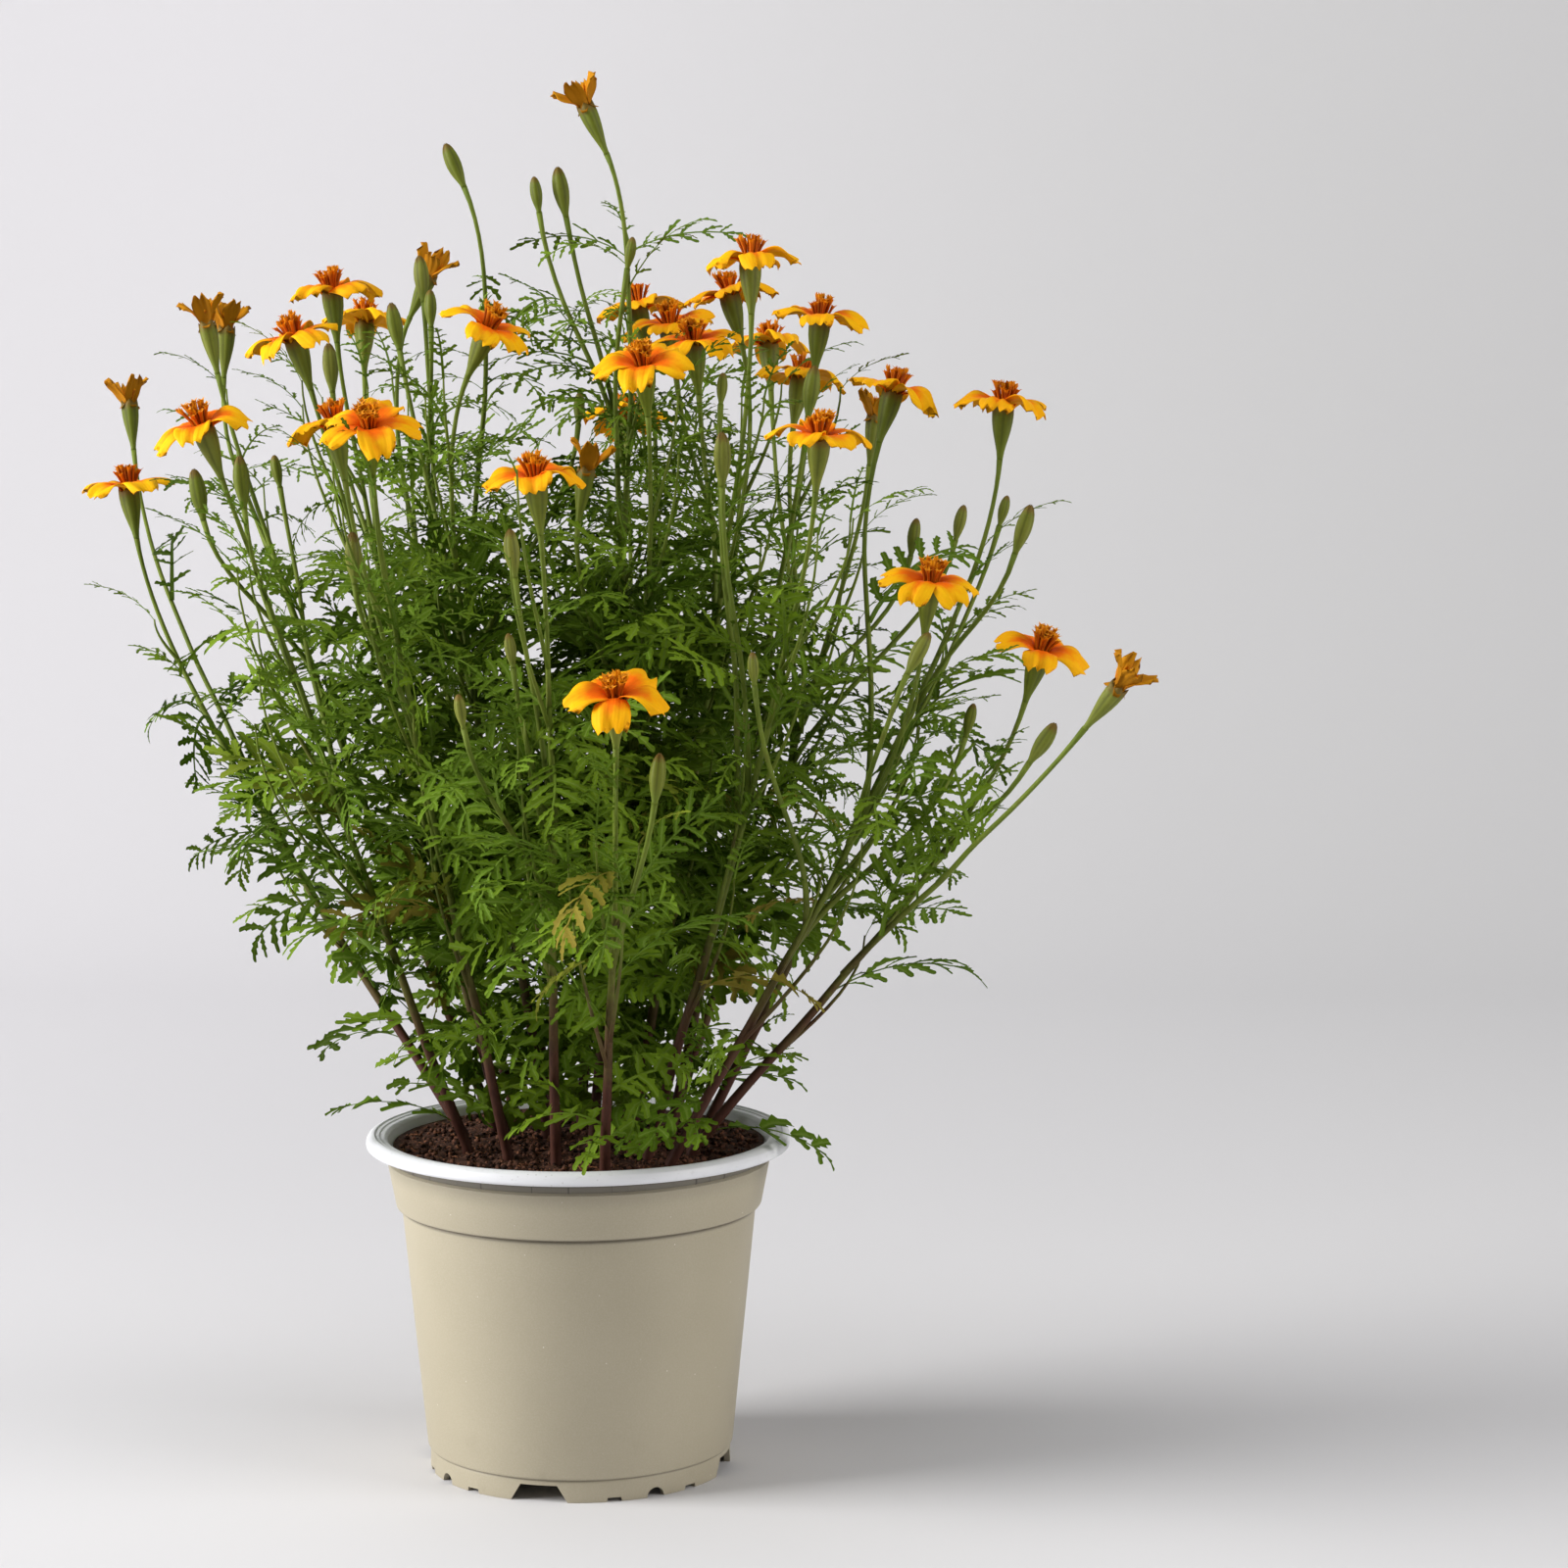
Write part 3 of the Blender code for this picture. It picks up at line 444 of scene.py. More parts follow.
class Shape:
    """Points, faces and painted values, gathered into one mesh."""

    def __init__(self, *painted):
        self.points, self.faces, self.kinds = [], [], []
        self.painted = {name: [] for name in painted}
        self.count = 0

    def add(self, points, faces, kind=0, **painted):
        """More points and faces, all of one kind or with a list of kinds, and what the points carry."""
        self.points.append(np.asarray(points, dtype=float))
        size = len(self.points[-1])
        self.faces += [tuple(self.count + at for at in face) for face in faces]
        self.kinds += kind if isinstance(kind, list) else [kind] * len(faces)
        for name, values in self.painted.items():
            values.append(np.broadcast_to(np.asarray(painted.get(name, 0.0), dtype=float), (size,)))
        self.count += size

    def mesh(self, name):
        made = bpy.data.meshes.new(name)
        made.from_pydata(np.concatenate(self.points).tolist(), [], self.faces)
        made.polygons.foreach_set("material_index", self.kinds)
        for title, values in self.painted.items():
            layer = made.attributes.new(title, "FLOAT", "POINT")
            layer.data.foreach_set("value", np.concatenate(values))
        made.shade_smooth()
        return made


def soil_height(x, y):
    """The height of the mound at a place."""
    return SOIL_EDGE_HEIGHT + SOIL_MOUND * (1 - (x * x + y * y) / SOIL_RADIUS**2)


def rough_soil_height(x, y):
    """The mound's height with its crumbs and hollows."""
    place = Vector((x, y, 0.0))
    lumps = noise.fractal(place / LUMP_SIZE, 0.8, 2.1, 3) * LUMP_HEIGHT
    crumbs = noise.voronoi(place / CRUMB_SIZE)[0][0] * CRUMB_HEIGHT
    away = math.hypot(x, y)
    edge = min(1.0, (TOP_SOIL_RADIUS - away) / (5 * MM))
    rise = EDGE_RISE * (away / TOP_SOIL_RADIUS) ** 4
    return soil_height(x, y) + rise + (lumps - crumbs + 0.35 * MM) * max(0.0, edge)


def bands(rings, sides, downwards=False):
    """The faces between rings of points: each ring with the next, which lies above or below it."""
    faces = []
    for near in range(0, (rings - 1) * sides, sides):
        for spoke in range(sides):
            far, after = near + sides, (spoke + 1) % sides
            corners = near + spoke, near + after, far + after, far + spoke
            faces.append(corners[:1] + corners[:0:-1] if downwards else corners)
    return faces


def capped_bands(rings, sides):
    """The faces of a tube that is closed at both ends."""
    last = (rings - 1) * sides
    return [tuple(reversed(range(sides))), *bands(rings, sides), tuple(range(last, last + sides))]


def make_soil_mesh(chance):
    soil = Shape("tone")
    rows = []
    for ring in range(1, SOIL_RINGS + 1):
        radius = TOP_SOIL_RADIUS * (ring / SOIL_RINGS)
        for spoke in range(SOIL_SPOKES):
            x, y = polar(radius, math.tau * (spoke + 0.5 * (ring % 2)) / SOIL_SPOKES)
            rows.append((x, y, rough_soil_height(x, y)))
    side = [
        (SOIL_RADIUS, SOIL_EDGE_HEIGHT - 2.2 * MM),
        (SOIL_RADIUS - SOIL_TAPER, STEP_HEIGHT),
        (FOOT_RADIUS - WALL, FLOOR_TOP + GAP),
    ]
    for radius, height in side:
        rows += [(*polar(radius, math.tau * spoke / SOIL_SPOKES), height) for spoke in range(SOIL_SPOKES)]
    middle = len(rows)
    rows.append((0.0, 0.0, rough_soil_height(0.0, 0.0)))
    faces = bands(SOIL_RINGS + len(side), SOIL_SPOKES, downwards=True)
    faces += [(spoke, (spoke + 1) % SOIL_SPOKES, middle) for spoke in range(SOIL_SPOKES)]
    faces.append(tuple(reversed(range(middle - SOIL_SPOKES, middle))))
    soil.add(rows, faces, tone=0.72)
    for _ in range(CLODS):
        add_clod(soil, chance)
    for _ in range(FIBRES):
        add_fibre(soil, chance)
    return soil.mesh("soil")


def spot_on_soil(chance, margin):
    radius = (TOP_SOIL_RADIUS - margin) * math.sqrt(chance.random())
    return polar(radius, chance.uniform(0, math.tau))


def add_clod(soil, chance):
    """A loose crumb of peat, half sunk in the top."""
    size = chance.uniform(0.4, 1.2) * MM
    x, y = spot_on_soil(chance, 2.5 * MM)
    middle = rough_soil_height(x, y) + size * 0.25
    points = []
    for ring in range(CLOD_RINGS):
        tilt = math.pi * (ring + 0.5) / CLOD_RINGS
        for spoke in range(CLOD_SIDES):
            angle = math.tau * (spoke + 0.5 * ring) / CLOD_SIDES
            bulge = size * chance.uniform(0.72, 1.12)
            across, along = polar(bulge * math.sin(tilt), angle)
            points.append((x + across, y + along, middle + 0.8 * bulge * math.cos(tilt)))
    faces = bands(CLOD_RINGS, CLOD_SIDES, downwards=True)
    lowest = len(points) - CLOD_SIDES
    faces += [tuple(range(CLOD_SIDES)), tuple(reversed(range(lowest, len(points))))]
    soil.add(points, faces, tone=chance.random() * 0.7)


def add_fibre(soil, chance):
    """A short bent fibre of peat or bark that lies on the top."""
    x, y = spot_on_soil(chance, 6 * MM)
    heading, turn = chance.uniform(0, math.tau), chance.uniform(-0.5, 0.5)
    length, width = chance.uniform(1.5, 5.0) * MM, chance.uniform(0.14, 0.34) * MM
    points = []
    for at in range(FIBRE_STEPS + 1):
        away = heading + turn * at
        x += math.cos(away) * length / FIBRE_STEPS
        y += math.sin(away) * length / FIBRE_STEPS
        side = Vector((-math.sin(away), math.cos(away), 0.0)) * width
        middle = Vector((x, y, rough_soil_height(x, y) + 0.35 * MM + chance.uniform(0.0, 0.5) * MM))
        if math.hypot(x, y) > SOIL_RADIUS - 1.5 * MM:
            return
        lift = Vector((0.0, 0.0, width))
        points += [middle + side, middle + lift, middle - side, middle - lift]
    faces = capped_bands(FIBRE_STEPS + 1, FIBRE_SIDES)
    soil.add(points, faces, tone=chance.choice((0.8, 0.9, 1.0, 1.0)))


def make_peat():
    peat = Finish("dark_peat", Specular_IOR_Level=0.2)
    tone = peat.painted("tone")
    clumps = peat.speckle(4 * MM, 5.0)
    crumb = peat.speckle(1.1 * MM, 4.0)
    colour = peat.blend(peat.ease(clumps, 0.35, 0.68), (0.014, 0.006, 0.004), (0.060, 0.028, 0.020))
    colour = peat.blend(peat.ease(crumb, 0.50, 0.72) * 0.8, colour, (0.130, 0.058, 0.036))
    speck = peat.ease(peat.speckle(0.7 * MM, 2.0), 0.60, 0.68)
    lump = peat.blend(peat.ease(tone, 0.2, 0.66), (0.022, 0.009, 0.006), (0.210, 0.090, 0.055))
    colour = peat.blend(peat.ease(tone + crumb * 0.2, 0.84, 0.76) * 0.75, colour, lump)
    pale = peat.ease(peat.cells(2.9 * MM), 0.10, 0.05)
    colour = peat.blend(pale * 0.6, colour, (0.36, 0.26, 0.19))
    fibre = peat.blend(crumb, (0.14, 0.045, 0.022), (0.26, 0.12, 0.06))
    colour = peat.blend(peat.ease(tone, 0.76, 0.82), colour, fibre)
    colour = peat.blend(speck * 0.7, colour, (0.34, 0.135, 0.060))
    peat.feed(Base_Color=colour, Roughness=0.80 + 0.18 * crumb)
    peat.bump(crumb + clumps * 0.6, 0.7 * MM, 0.9)
    return peat.material


add_piece("potting_soil", make_soil_mesh(random.Random(SOIL_SEED)), [make_peat()], "soil", "soil")


# Each leafy stem is one growing shoot: a ribbed main stem, red-brown at the soil and green above, its
# thinner branches and flower stalks, and at each end a softly ribbed green cup or a closed bud.

ROOT_DEPTH = 15.0 * MM
BASE_RADIUS = 2.0 * MM
STALK_RADIUS = 1.0 * MM
STEM_THINNING = 1.6
POINT_SPACING = 50.0 * MM
CUP_LENGTH = 16.0 * MM
MAIN_LEAVE_LEVEL, MAIN_LEAVE_UP, MAIN_ARRIVE = 0.34, 0.31, 0.30
BRANCH_CONTROL, BRANCH_ALONG = 0.33, 0.45
HEAD_BEND = 45.0 * MM

# Each stem: where it leaves the soil (x, y), then its flower heads. The first head ends the main
# stem and the others branch from it. A head is its kind, the place of its top (x, y, z), how many
# degrees it leans, towards which side in degrees from +X, and for a branch how far up the main stem
# it starts. Millimetres.
STEMS = {
    "01": ((-36, 6), ("open", -146, 68, 298, 8, 180), ("half", -152, 108, 325, 12, 120, 0.42)),
    "02": (
        (-27, 15),
        ("half", -114, 25, 350, 14, 150),
        ("half", -113, 60, 349, 6, 60, 0.62),
        ("bud", -115, 0, 306, 10, 200, 0.55),
    ),
    "03": ((-33, -16), ("open", -102, -70, 320, 22, 215), ("bud", -95, -45, 311, 6, 150, 0.6)),
    "04": (
        (-21, 27),
        ("open", -78, 45, 360, 6, 200),
        ("open", -74, 105, 351, 12, 90, 0.45),
        ("bud", -82, 70, 344, 6, 140, 0.6),
    ),
    "05": ((-22, -4), ("open", -83, -10, 345, 18, 200)),
    "06": (
        (-20, -27),
        ("open", -53, -85, 320, 30, 270),
        ("open", -66, -55, 320, 10, 170, 0.5),
        ("bud", -60, -68, 290, 8, 260, 0.6),
    ),
    "07": (
        (-9, 31),
        ("half", -50, 75, 366, 30, 330),
        ("bud", -51, 50, 371, 12, 120, 0.5),
        ("bud", -40, 20, 404, 24, 170, 0.4),
    ),
    "08": ((-10, 2), ("open", -24, -25, 348, 28, 330), ("bud", -57, 20, 356, 12, 150, 0.5)),
    "09": ((0, 14), ("half", 3, 10, 415, 24, 180), ("bud", -6, 20, 397, 10, 170, 0.6)),
    "10": ((-5, -36), ("open", -6, -95, 306, 12, 250), ("bud", -15, -70, 291, 6, 170, 0.55)),
    "11": ((5, -18), ("open", 22, -40, 337, 24, 260), ("half", 5, -30, 307, 10, 20, 0.5)),
    "12": ((7, 33), ("open", 17, 55, 355, 12, 160), ("open", 11, 124, 320, 20, 90, 0.4)),
    "13": ((16, -2), ("open", 53, -15, 368, 5, 100), ("open", 36, -5, 344, 14, 250, 0.55)),
    "14": ((17, 20), ("open", 46, 40, 359, 14, 170), ("open", 28, 25, 349, 10, 230, 0.6)),
    "15": ((28, 10), ("open", 74, 20, 351, 8, 320), ("bud", 72, -20, 337, 8, 20, 0.55)),
    "16": ((22, -26), ("open", 73, -70, 317, 12, 290), ("bud", 45, -50, 318, 8, 270, 0.5)),
    "17": (
        (37, -4),
        ("open", 129, 0, 325, 4, 0),
        ("open", 96, 10, 329, 18, 30, 0.45),
        ("bud", 136, -22, 296, 18, 350, 0.6),
    ),
    "18": (
        (35, -19),
        ("open", 138, -40, 254, 20, 320),
        ("half", 154, -124, 251, 40, 330, 0.4),
        ("bud", 140, -75, 236, 35, 330, 0.62),
    ),
    "19": (
        (28, 27),
        ("half", 92, 70, 321, 8, 30),
        ("open", 58, 110, 344, 14, 100, 0.5),
        ("open", 68, 60, 333, 16, 60, 0.55),
    ),
    "20": ((10, -46), ("open", 17, -125, 248, 24, 270), ("bud", 29, -120, 232, 6, 0, 0.5)),
    "21": ((29, -36), ("open", 105, -60, 275, 12, 300), ("bud", 104, -77, 262, 30, 20, 0.6)),
}

# More buds, each on a thin side stalk of a stem that the solid doesn't have: its stem, then its head.
SIDE_BUDS = [
    ("07", ("bud", -45, 20, 360, 10, 100, 0.55)),
    ("09", ("bud", 18, -10, 375, 12, 330, 0.50)),
    ("09", ("bud", -13, 18, 394, 8, 180, 0.60)),
    ("03", ("bud", -92, 10, 310, 10, 170, 0.45)),
    ("16", ("bud", 45, -30, 335, 8, 60, 0.45)),
    ("08", ("bud", 0, 30, 329, 14, 80, 0.55)),
    ("19", ("bud", 120, 60, 293, 14, 10, 0.50)),
    ("17", ("bud", 132, 30, 297, 16, 20, 0.40)),
    ("21", ("bud", 54, -85, 257, 10, 250, 0.45)),
    ("10", ("bud", -28, -95, 246, 12, 230, 0.40)),
    ("21", ("bud", 120, -10, 236, 14, 10, 0.40)),
    ("15", ("bud", 104, 30, 290, 10, 20, 0.45)),
    ("10", ("bud", -15, -80, 262, 8, 200, 0.45)),
]

TWIG_SEED = 17
# Leafy side shoots within the plant's outline: how far up the stem, and how long, out and high
TWIGS_PER_STEM = 5
TWIG_RADIUS, TWIG_SIDES, TWIG_STEPS = 0.75 * MM, 6, 9
FIRST_TWIG, TWIG_SPREAD = 0.20, 0.62
TWIG_LENGTHS = (40 * MM, 85 * MM)
SHORTEST_TWIG = 20 * MM
TWIGS_OUT_TO, TWIGS_UP_TO = 112 * MM, 335 * MM


def bezier(start, leave, arrive, end, amount):
    rest = 1 - amount
    near = start * rest**3 + leave * (3 * rest**2 * amount)
    return near + arrive * (3 * rest * amount**2) + end * amount**3


def head_axis(head):
    """The way a flower head faces."""
    lean, towards = math.radians(head[4]), math.radians(head[5])
    return Vector((*polar(math.sin(lean), towards), math.cos(lean)))


def head_top(head):
    return Vector(head[1:4]) * MM


def corners_of(curve):
    """The corners of the line that the solid stem follows."""
    length = sum((curve[at + 1] - curve[at]).length for at in range(3))
    count = max(3, round(length / POINT_SPACING))
    return [bezier(*curve, at / count) for at in range(count + 1)]


def place_on(curve, amount):
    corners = corners_of(curve)
    whole = amount * (len(corners) - 1)
    at = min(int(whole), len(corners) - 2)
    return corners[at].lerp(corners[at + 1], whole - at)


def main_curve(base, head):
    """Control points of the main stem, from the soil to the foot of its cup."""
    x, y = base[0] * MM, base[1] * MM
    start = Vector((x, y, soil_height(x, y) + 1.5 * MM))
    axis = head_axis(head)
    end = head_top(head) - axis * CUP_LENGTH
    reach = end - start
    leave = start + reach * MAIN_LEAVE_LEVEL
    leave.z = start.z + reach.z * MAIN_LEAVE_UP
    return start, leave, end - axis * min(reach.length * MAIN_ARRIVE, HEAD_BEND), end


def branch_curve(main, head, head_length=CUP_LENGTH):
    """Control points of a branch, from the main stem to the foot of its cup or bud."""
    start = place_on(main, head[6])
    along = (bezier(*main, head[6] + 0.02) - bezier(*main, head[6])).normalized()
    axis = head_axis(head)
    end = head_top(head) - axis * head_length
    reach = end - start
    way = along * BRANCH_ALONG + reach.normalized() * (1 - BRANCH_ALONG)
    control = reach.length * BRANCH_CONTROL
    return start, start + way * control, end - axis * min(control, HEAD_BEND), end


def main_radius(amount):
    return STALK_RADIUS + (BASE_RADIUS - STALK_RADIUS) * (1 - amount) ** STEM_THINNING


# How wide a head is, in millimetres, at each share of its length
CUP_FORM = (
    (0.05, 1.00), (0.15, 1.22), (0.28, 1.7), (0.42, 2.25), (0.56, 2.75), (0.70, 3.1), (0.84, 3.25),
    (0.95, 3.2), (1.0, 3.05), (0.985, 2.8), (0.93, 2.2),
)
HALF_FORM = tuple((along, wide * 0.84) for along, wide in CUP_FORM)
BUD_FORM = (
    (0.06, 1.00), (0.15, 1.35), (0.26, 1.85), (0.38, 2.25), (0.50, 2.5), (0.62, 2.5), (0.74, 2.3),
    (0.85, 1.9), (0.93, 1.35), (0.98, 0.8), (1.0, 0.3),
)
HEAD_FORMS = {"open": CUP_FORM, "half": HALF_FORM, "bud": BUD_FORM}
# One scale over a bud's tip: how far out, sideways and up its corners are, in millimetres
BUD_SCALE = ((1.75, -0.9, -2.6), (1.75, 0.9, -2.6), (1.3, 0.5, -0.9), (0.35, 0.0, 0.35), (1.3, -0.5, -0.9))
CUP_FOOT_RADIUS = 0.92 * MM
TEETH_AT = (8, 9)
TOOTH_HEIGHT = 1.44 * MM
STEM_SIDES, HEAD_SIDES = 9, 20
RIBS, RIB_DEPTH = 5, 0.07
STEM_STEP = 7 * MM
# How thick a stem is beside its solid, at its top and how much more at its foot
SLENDER_TOP, SLENDER_FOOT = 0.62, 0.22
SWELLING, SWOLLEN_LENGTH = 0.30 * MM, 18 * MM
WANDER, WANDER_LENGTH = 1.6 * MM, 38 * MM


def skin(path, radii, sides, ribs=0.0):
    """Points and faces of a round skin along a path, with shallow ribs down its length."""
    path = np.array(path)
    ahead = np.gradient(path, axis=0)
    ahead /= np.linalg.norm(ahead, axis=1)[:, None]
    side = np.cross(ahead[0], (0.3, 0.9, 0.1))
    angle = np.arange(sides) * math.tau / sides
    swell = 1 + ribs * np.cos(angle * RIBS)
    points = []
    for at, place in enumerate(path):
        side = side - ahead[at] * side.dot(ahead[at])
        side /= np.linalg.norm(side)
        across = np.cross(ahead[at], side)
        ring = np.outer(np.cos(angle) * swell, side) + np.outer(np.sin(angle) * swell, across)
        points.append(place + ring * radii[at])
    return np.concatenate(points), capped_bands(len(path), sides)


def add_stalk(shape, curve, head, first_radius, size=1.0, root=None):
    """One stem or branch with its cup or bud: stalk faces are kind 0 and head faces kind 1.

    The shade of each is taken from where its head is, so that it differs from stem to stem.
    """
    length = sum((curve[at + 1] - curve[at]).length for at in range(3))
    count = max(8, round(length / STEM_STEP))
    path, radii = [], []
    if root is not None:
        path.append(root)
        radii.append(BASE_RADIUS * 0.95)
    for at in range(count + 1):
        amount = at / count
        path.append(bezier(*curve, amount))
        bend = noise.noise(path[-1] / WANDER_LENGTH + Vector((head[1], head[2], 0.0)))
        path[-1] = path[-1] + Vector((bend, -bend, 0.0)) * WANDER * math.sin(math.pi * amount)
        swell = SWELLING * max(0.0, 1 - (1 - amount) * length / SWOLLEN_LENGTH) ** 2
        thick = STALK_RADIUS + (first_radius - STALK_RADIUS) * (1 - amount) ** STEM_THINNING
        radii.append((SLENDER_TOP + SLENDER_FOOT * (1 - amount)) * thick + swell)
    points, faces = skin(path, radii, STEM_SIDES, RIB_DEPTH)
    shape.add(points, faces, 0, along=0.0, shade=abs(head[1]) % 7 / 7)
    axis, top = head_axis(head), head_top(head)
    form = HEAD_FORMS[head[0]]
    foot = top - axis * (CUP_LENGTH * size)
    path = [foot + axis * (CUP_LENGTH * size * along) for along, _ in ((0.0, 1.0), *form)]
    radii = [CUP_FOOT_RADIUS] + [(wide * size + 0.25 * (1 - size)) * MM for _, wide in form]
    points, faces = head_skin(path, radii, axis, foot, toothed=head[0] != "bud")
    along = np.repeat([0.0] + [share for share, _ in form], HEAD_SIDES)
    rib = np.tile(np.cos(np.arange(HEAD_SIDES) * math.tau * RIBS / HEAD_SIDES) * 0.5 + 0.5, len(path))
    pale = abs(head[2]) % 9 / 9 + (0.35 if head[0] == "bud" else 0.0)
    shape.add(points, faces, 1, along=along, shade=pale, rib=rib)
    if head[0] == "bud":
        add_bud_scales(shape, top, axis, size)


def head_skin(path, radii, axis, foot, toothed):
    """Points and faces of a cup or bud about a straight axis, five-sided and softly ribbed."""
    stand = axis.to_track_quat("Z", "Y").to_matrix()
    angle = np.arange(HEAD_SIDES) * math.tau / HEAD_SIDES
    points = []
    for at, (place, radius) in enumerate(zip(path, radii)):
        high = (place - foot).dot(axis)
        ribbed = 1 + RIB_DEPTH * np.cos(angle * RIBS) * min(1.0, high / (5 * MM))
        lift = np.full(HEAD_SIDES, high)
        if toothed and at - 1 in TEETH_AT:
            lift = lift + (np.cos(angle * RIBS / 2) ** 2 - 0.5) * TOOTH_HEIGHT
        ring = np.stack([np.cos(angle) * radius * ribbed, np.sin(angle) * radius * ribbed, lift], axis=1)
        points.append(ring @ np.array(stand).T + np.array(foot))
    return np.concatenate(points), capped_bands(len(path), HEAD_SIDES)


def add_bud_scales(shape, top, axis, size):
    """The small pointed tips that close over the end of a bud."""
    stand = axis.to_track_quat("Z", "Y").to_matrix()
    for tip in range(RIBS):
        turn = stand @ Matrix.Rotation(math.tau * tip / RIBS, 3, "Z")
        outline = [top + turn @ Vector(corner) * MM * size for corner in BUD_SCALE]
        shape.add(outline, [tuple(range(len(outline)))], 1, along=0.97, rib=1.0)


def make_stem_skin():
    stem = Finish("stem_skin", Specular_IOR_Level=0.2)
    z = stem.axes()[2]
    streak = stem.speckle(0.8 * MM, 3.0, stem.squeeze(0.12))
    patch = stem.speckle(14 * MM, 3.0)
    green = stem.blend(stem.ease(patch, 0.3, 0.7), (0.105, 0.150, 0.014), (0.165, 0.220, 0.024))
    green = stem.blend(stem.ease(streak, 0.5, 0.8) * 0.5, green, (0.23, 0.28, 0.07))
    brown = stem.blend(streak, (0.044, 0.013, 0.010), (0.100, 0.036, 0.022))
    foot = stem.ease(z + patch * 60 * MM, 0.235, 0.150)
    blush = stem.ease(patch, 0.58, 0.72) * stem.ease(z, 0.30, 0.17) * 0.7
    colour = stem.blend(foot, stem.blend(blush, green, brown), brown)
    stem.feed(Base_Color=colour, Roughness=0.50 + 0.2 * streak)
    stem.bump(streak, 0.15 * MM, 0.5)
    return stem.material


def make_cup_skin():
    cup = Finish("cup_skin", Specular_IOR_Level=0.25)
    along, shade, rib = cup.painted("along"), cup.painted("shade"), cup.painted("rib")
    patch = cup.speckle(5 * MM, 3.0)
    fine = cup.speckle(0.7 * MM, 2.0)
    colour = cup.blend(patch, (0.098, 0.128, 0.006), (0.165, 0.200, 0.014))
    colour = cup.blend(cup.ease(shade + patch * 0.4, 0.6, 1.3) * 0.55, colour, (0.27, 0.27, 0.05))
    green = cup.ease(along + patch * 0.3, 0.55, 0.05)
    colour = cup.blend(green * 0.8, colour, (0.135, 0.190, 0.018))
    groove = cup.ease(rib, 0.45, 0.0) * cup.ease(along, 0.1, 0.4)
    colour = cup.blend(groove * 0.55, colour, (0.060, 0.070, 0.006))
    gland = cup.ease(cup.cells(1.3 * MM), 0.20, 0.10) * cup.ease(along, 0.35, 0.6)
    colour = cup.blend(gland * 0.45, colour, (0.12, 0.075, 0.01))
    tip = cup.ease(along + fine * 0.12, 0.84, 1.04)
    colour = cup.blend(tip * 0.8, colour, (0.17, 0.085, 0.014))
    cup.feed(Base_Color=colour, Roughness=0.46 + 0.2 * fine)
    cup.bump(fine + gland * 0.8, 0.12 * MM, 0.5)
    return cup.material


def twig_curve(main, at, chance):
    """Control points of a short leafy side shoot that ends in a leaf, within the plant's outline."""
    amount = FIRST_TWIG + TWIG_SPREAD * (at + chance.random()) / TWIGS_PER_STEM
    start = place_on(main, amount)
    along = (bezier(*main, amount + 0.02) - bezier(*main, amount)).normalized()
    outward = Vector((start.x, start.y, 0.0)).normalized()
    outward.rotate(Matrix.Rotation(chance.uniform(-1.3, 1.3), 3, "Z"))
    length = chance.uniform(*TWIG_LENGTHS)
    way = (along * 1.3 + outward * chance.uniform(0.2, 0.7)).normalized()
    heading = (way + Vector((0.0, 0.0, 0.35))).normalized()
    tip = start + heading * length
    while length > SHORTEST_TWIG and (math.hypot(tip.x, tip.y) > TWIGS_OUT_TO or tip.z > TWIGS_UP_TO):
        length *= 0.8
        tip = start + heading * length
    return start, start + way * length * 0.35, tip - Vector((0.0, 0.0, 0.3)) * length, tip


def add_twig(shape, curve):
    path = [bezier(*curve, at / TWIG_STEPS) for at in range(TWIG_STEPS + 1)]
    radii = [TWIG_RADIUS * (1 - 0.07 * at) for at in range(TWIG_STEPS + 1)]
    shape.add(*skin(path, radii, TWIG_SIDES), 0)


stem_skin, cup_skin = make_stem_skin(), make_cup_skin()
budding = random.Random(TWIG_SEED)
curves, twigs = {}, {}
for number, (base, first, *others) in STEMS.items():
    main = main_curve(base, first)
    side_buds = [head for owner, head in SIDE_BUDS if owner == number]
    shoot = Shape("along", "shade", "rib")
    x, y = base[0] * MM, base[1] * MM
    root = Vector((x, y, soil_height(x, y) - ROOT_DEPTH))
    add_stalk(shoot, main, first, BASE_RADIUS, root=root)
    curves[number] = [main]
    for head in others + side_buds:
        size = 1.0
        if head[0] == "bud":
            size = budding.uniform(0.55, 0.75) if head in side_buds else budding.uniform(0.82, 1.0)
        branch = branch_curve(main, head, CUP_LENGTH * size)
        add_stalk(shoot, branch, head, max(STALK_RADIUS, main_radius(head[6]) * 0.85), size)
        curves[number].append(branch)
    twigs[number] = [twig_curve(main, at, budding) for at in range(TWIGS_PER_STEM)]
    for twig in twigs[number]:
        add_twig(shoot, twig)
    stems = shoot.mesh("shoot_" + number)
    add_piece("shoot_" + number, stems, [stem_skin, cup_skin], "greenery", "leafy_stem_" + number)


# The leaves are cut to the rib into pairs of narrow toothed leaflets, thin and soft: broad near the
# soil, longest in the middle of the plant, and thread-fine on the flower stalks.

LEAF_SEED = 23
GOLDEN_ANGLE = math.radians(137.5)
SITE_SPACING = 9.0 * MM
FIRST_LEAF, FIRST_BRANCH_LEAF = 8.0 * MM, 14.0 * MM
BARE_STALK = 40.0 * MM
BRANCH_TURN = 1.3
LARGEST_ROLL = math.radians(40)
LEAF_BEND = math.radians(60)
RISES = (55, 35, 75, 15)
FIRST_PAIR, LAST_PAIR = 0.14, 0.80
LONG_LEAF, MIDDLE_LEAF, SHORT_LEAF = 54 * MM, 42 * MM, 40 * MM
LOW, HIGH = 140 * MM, 265 * MM
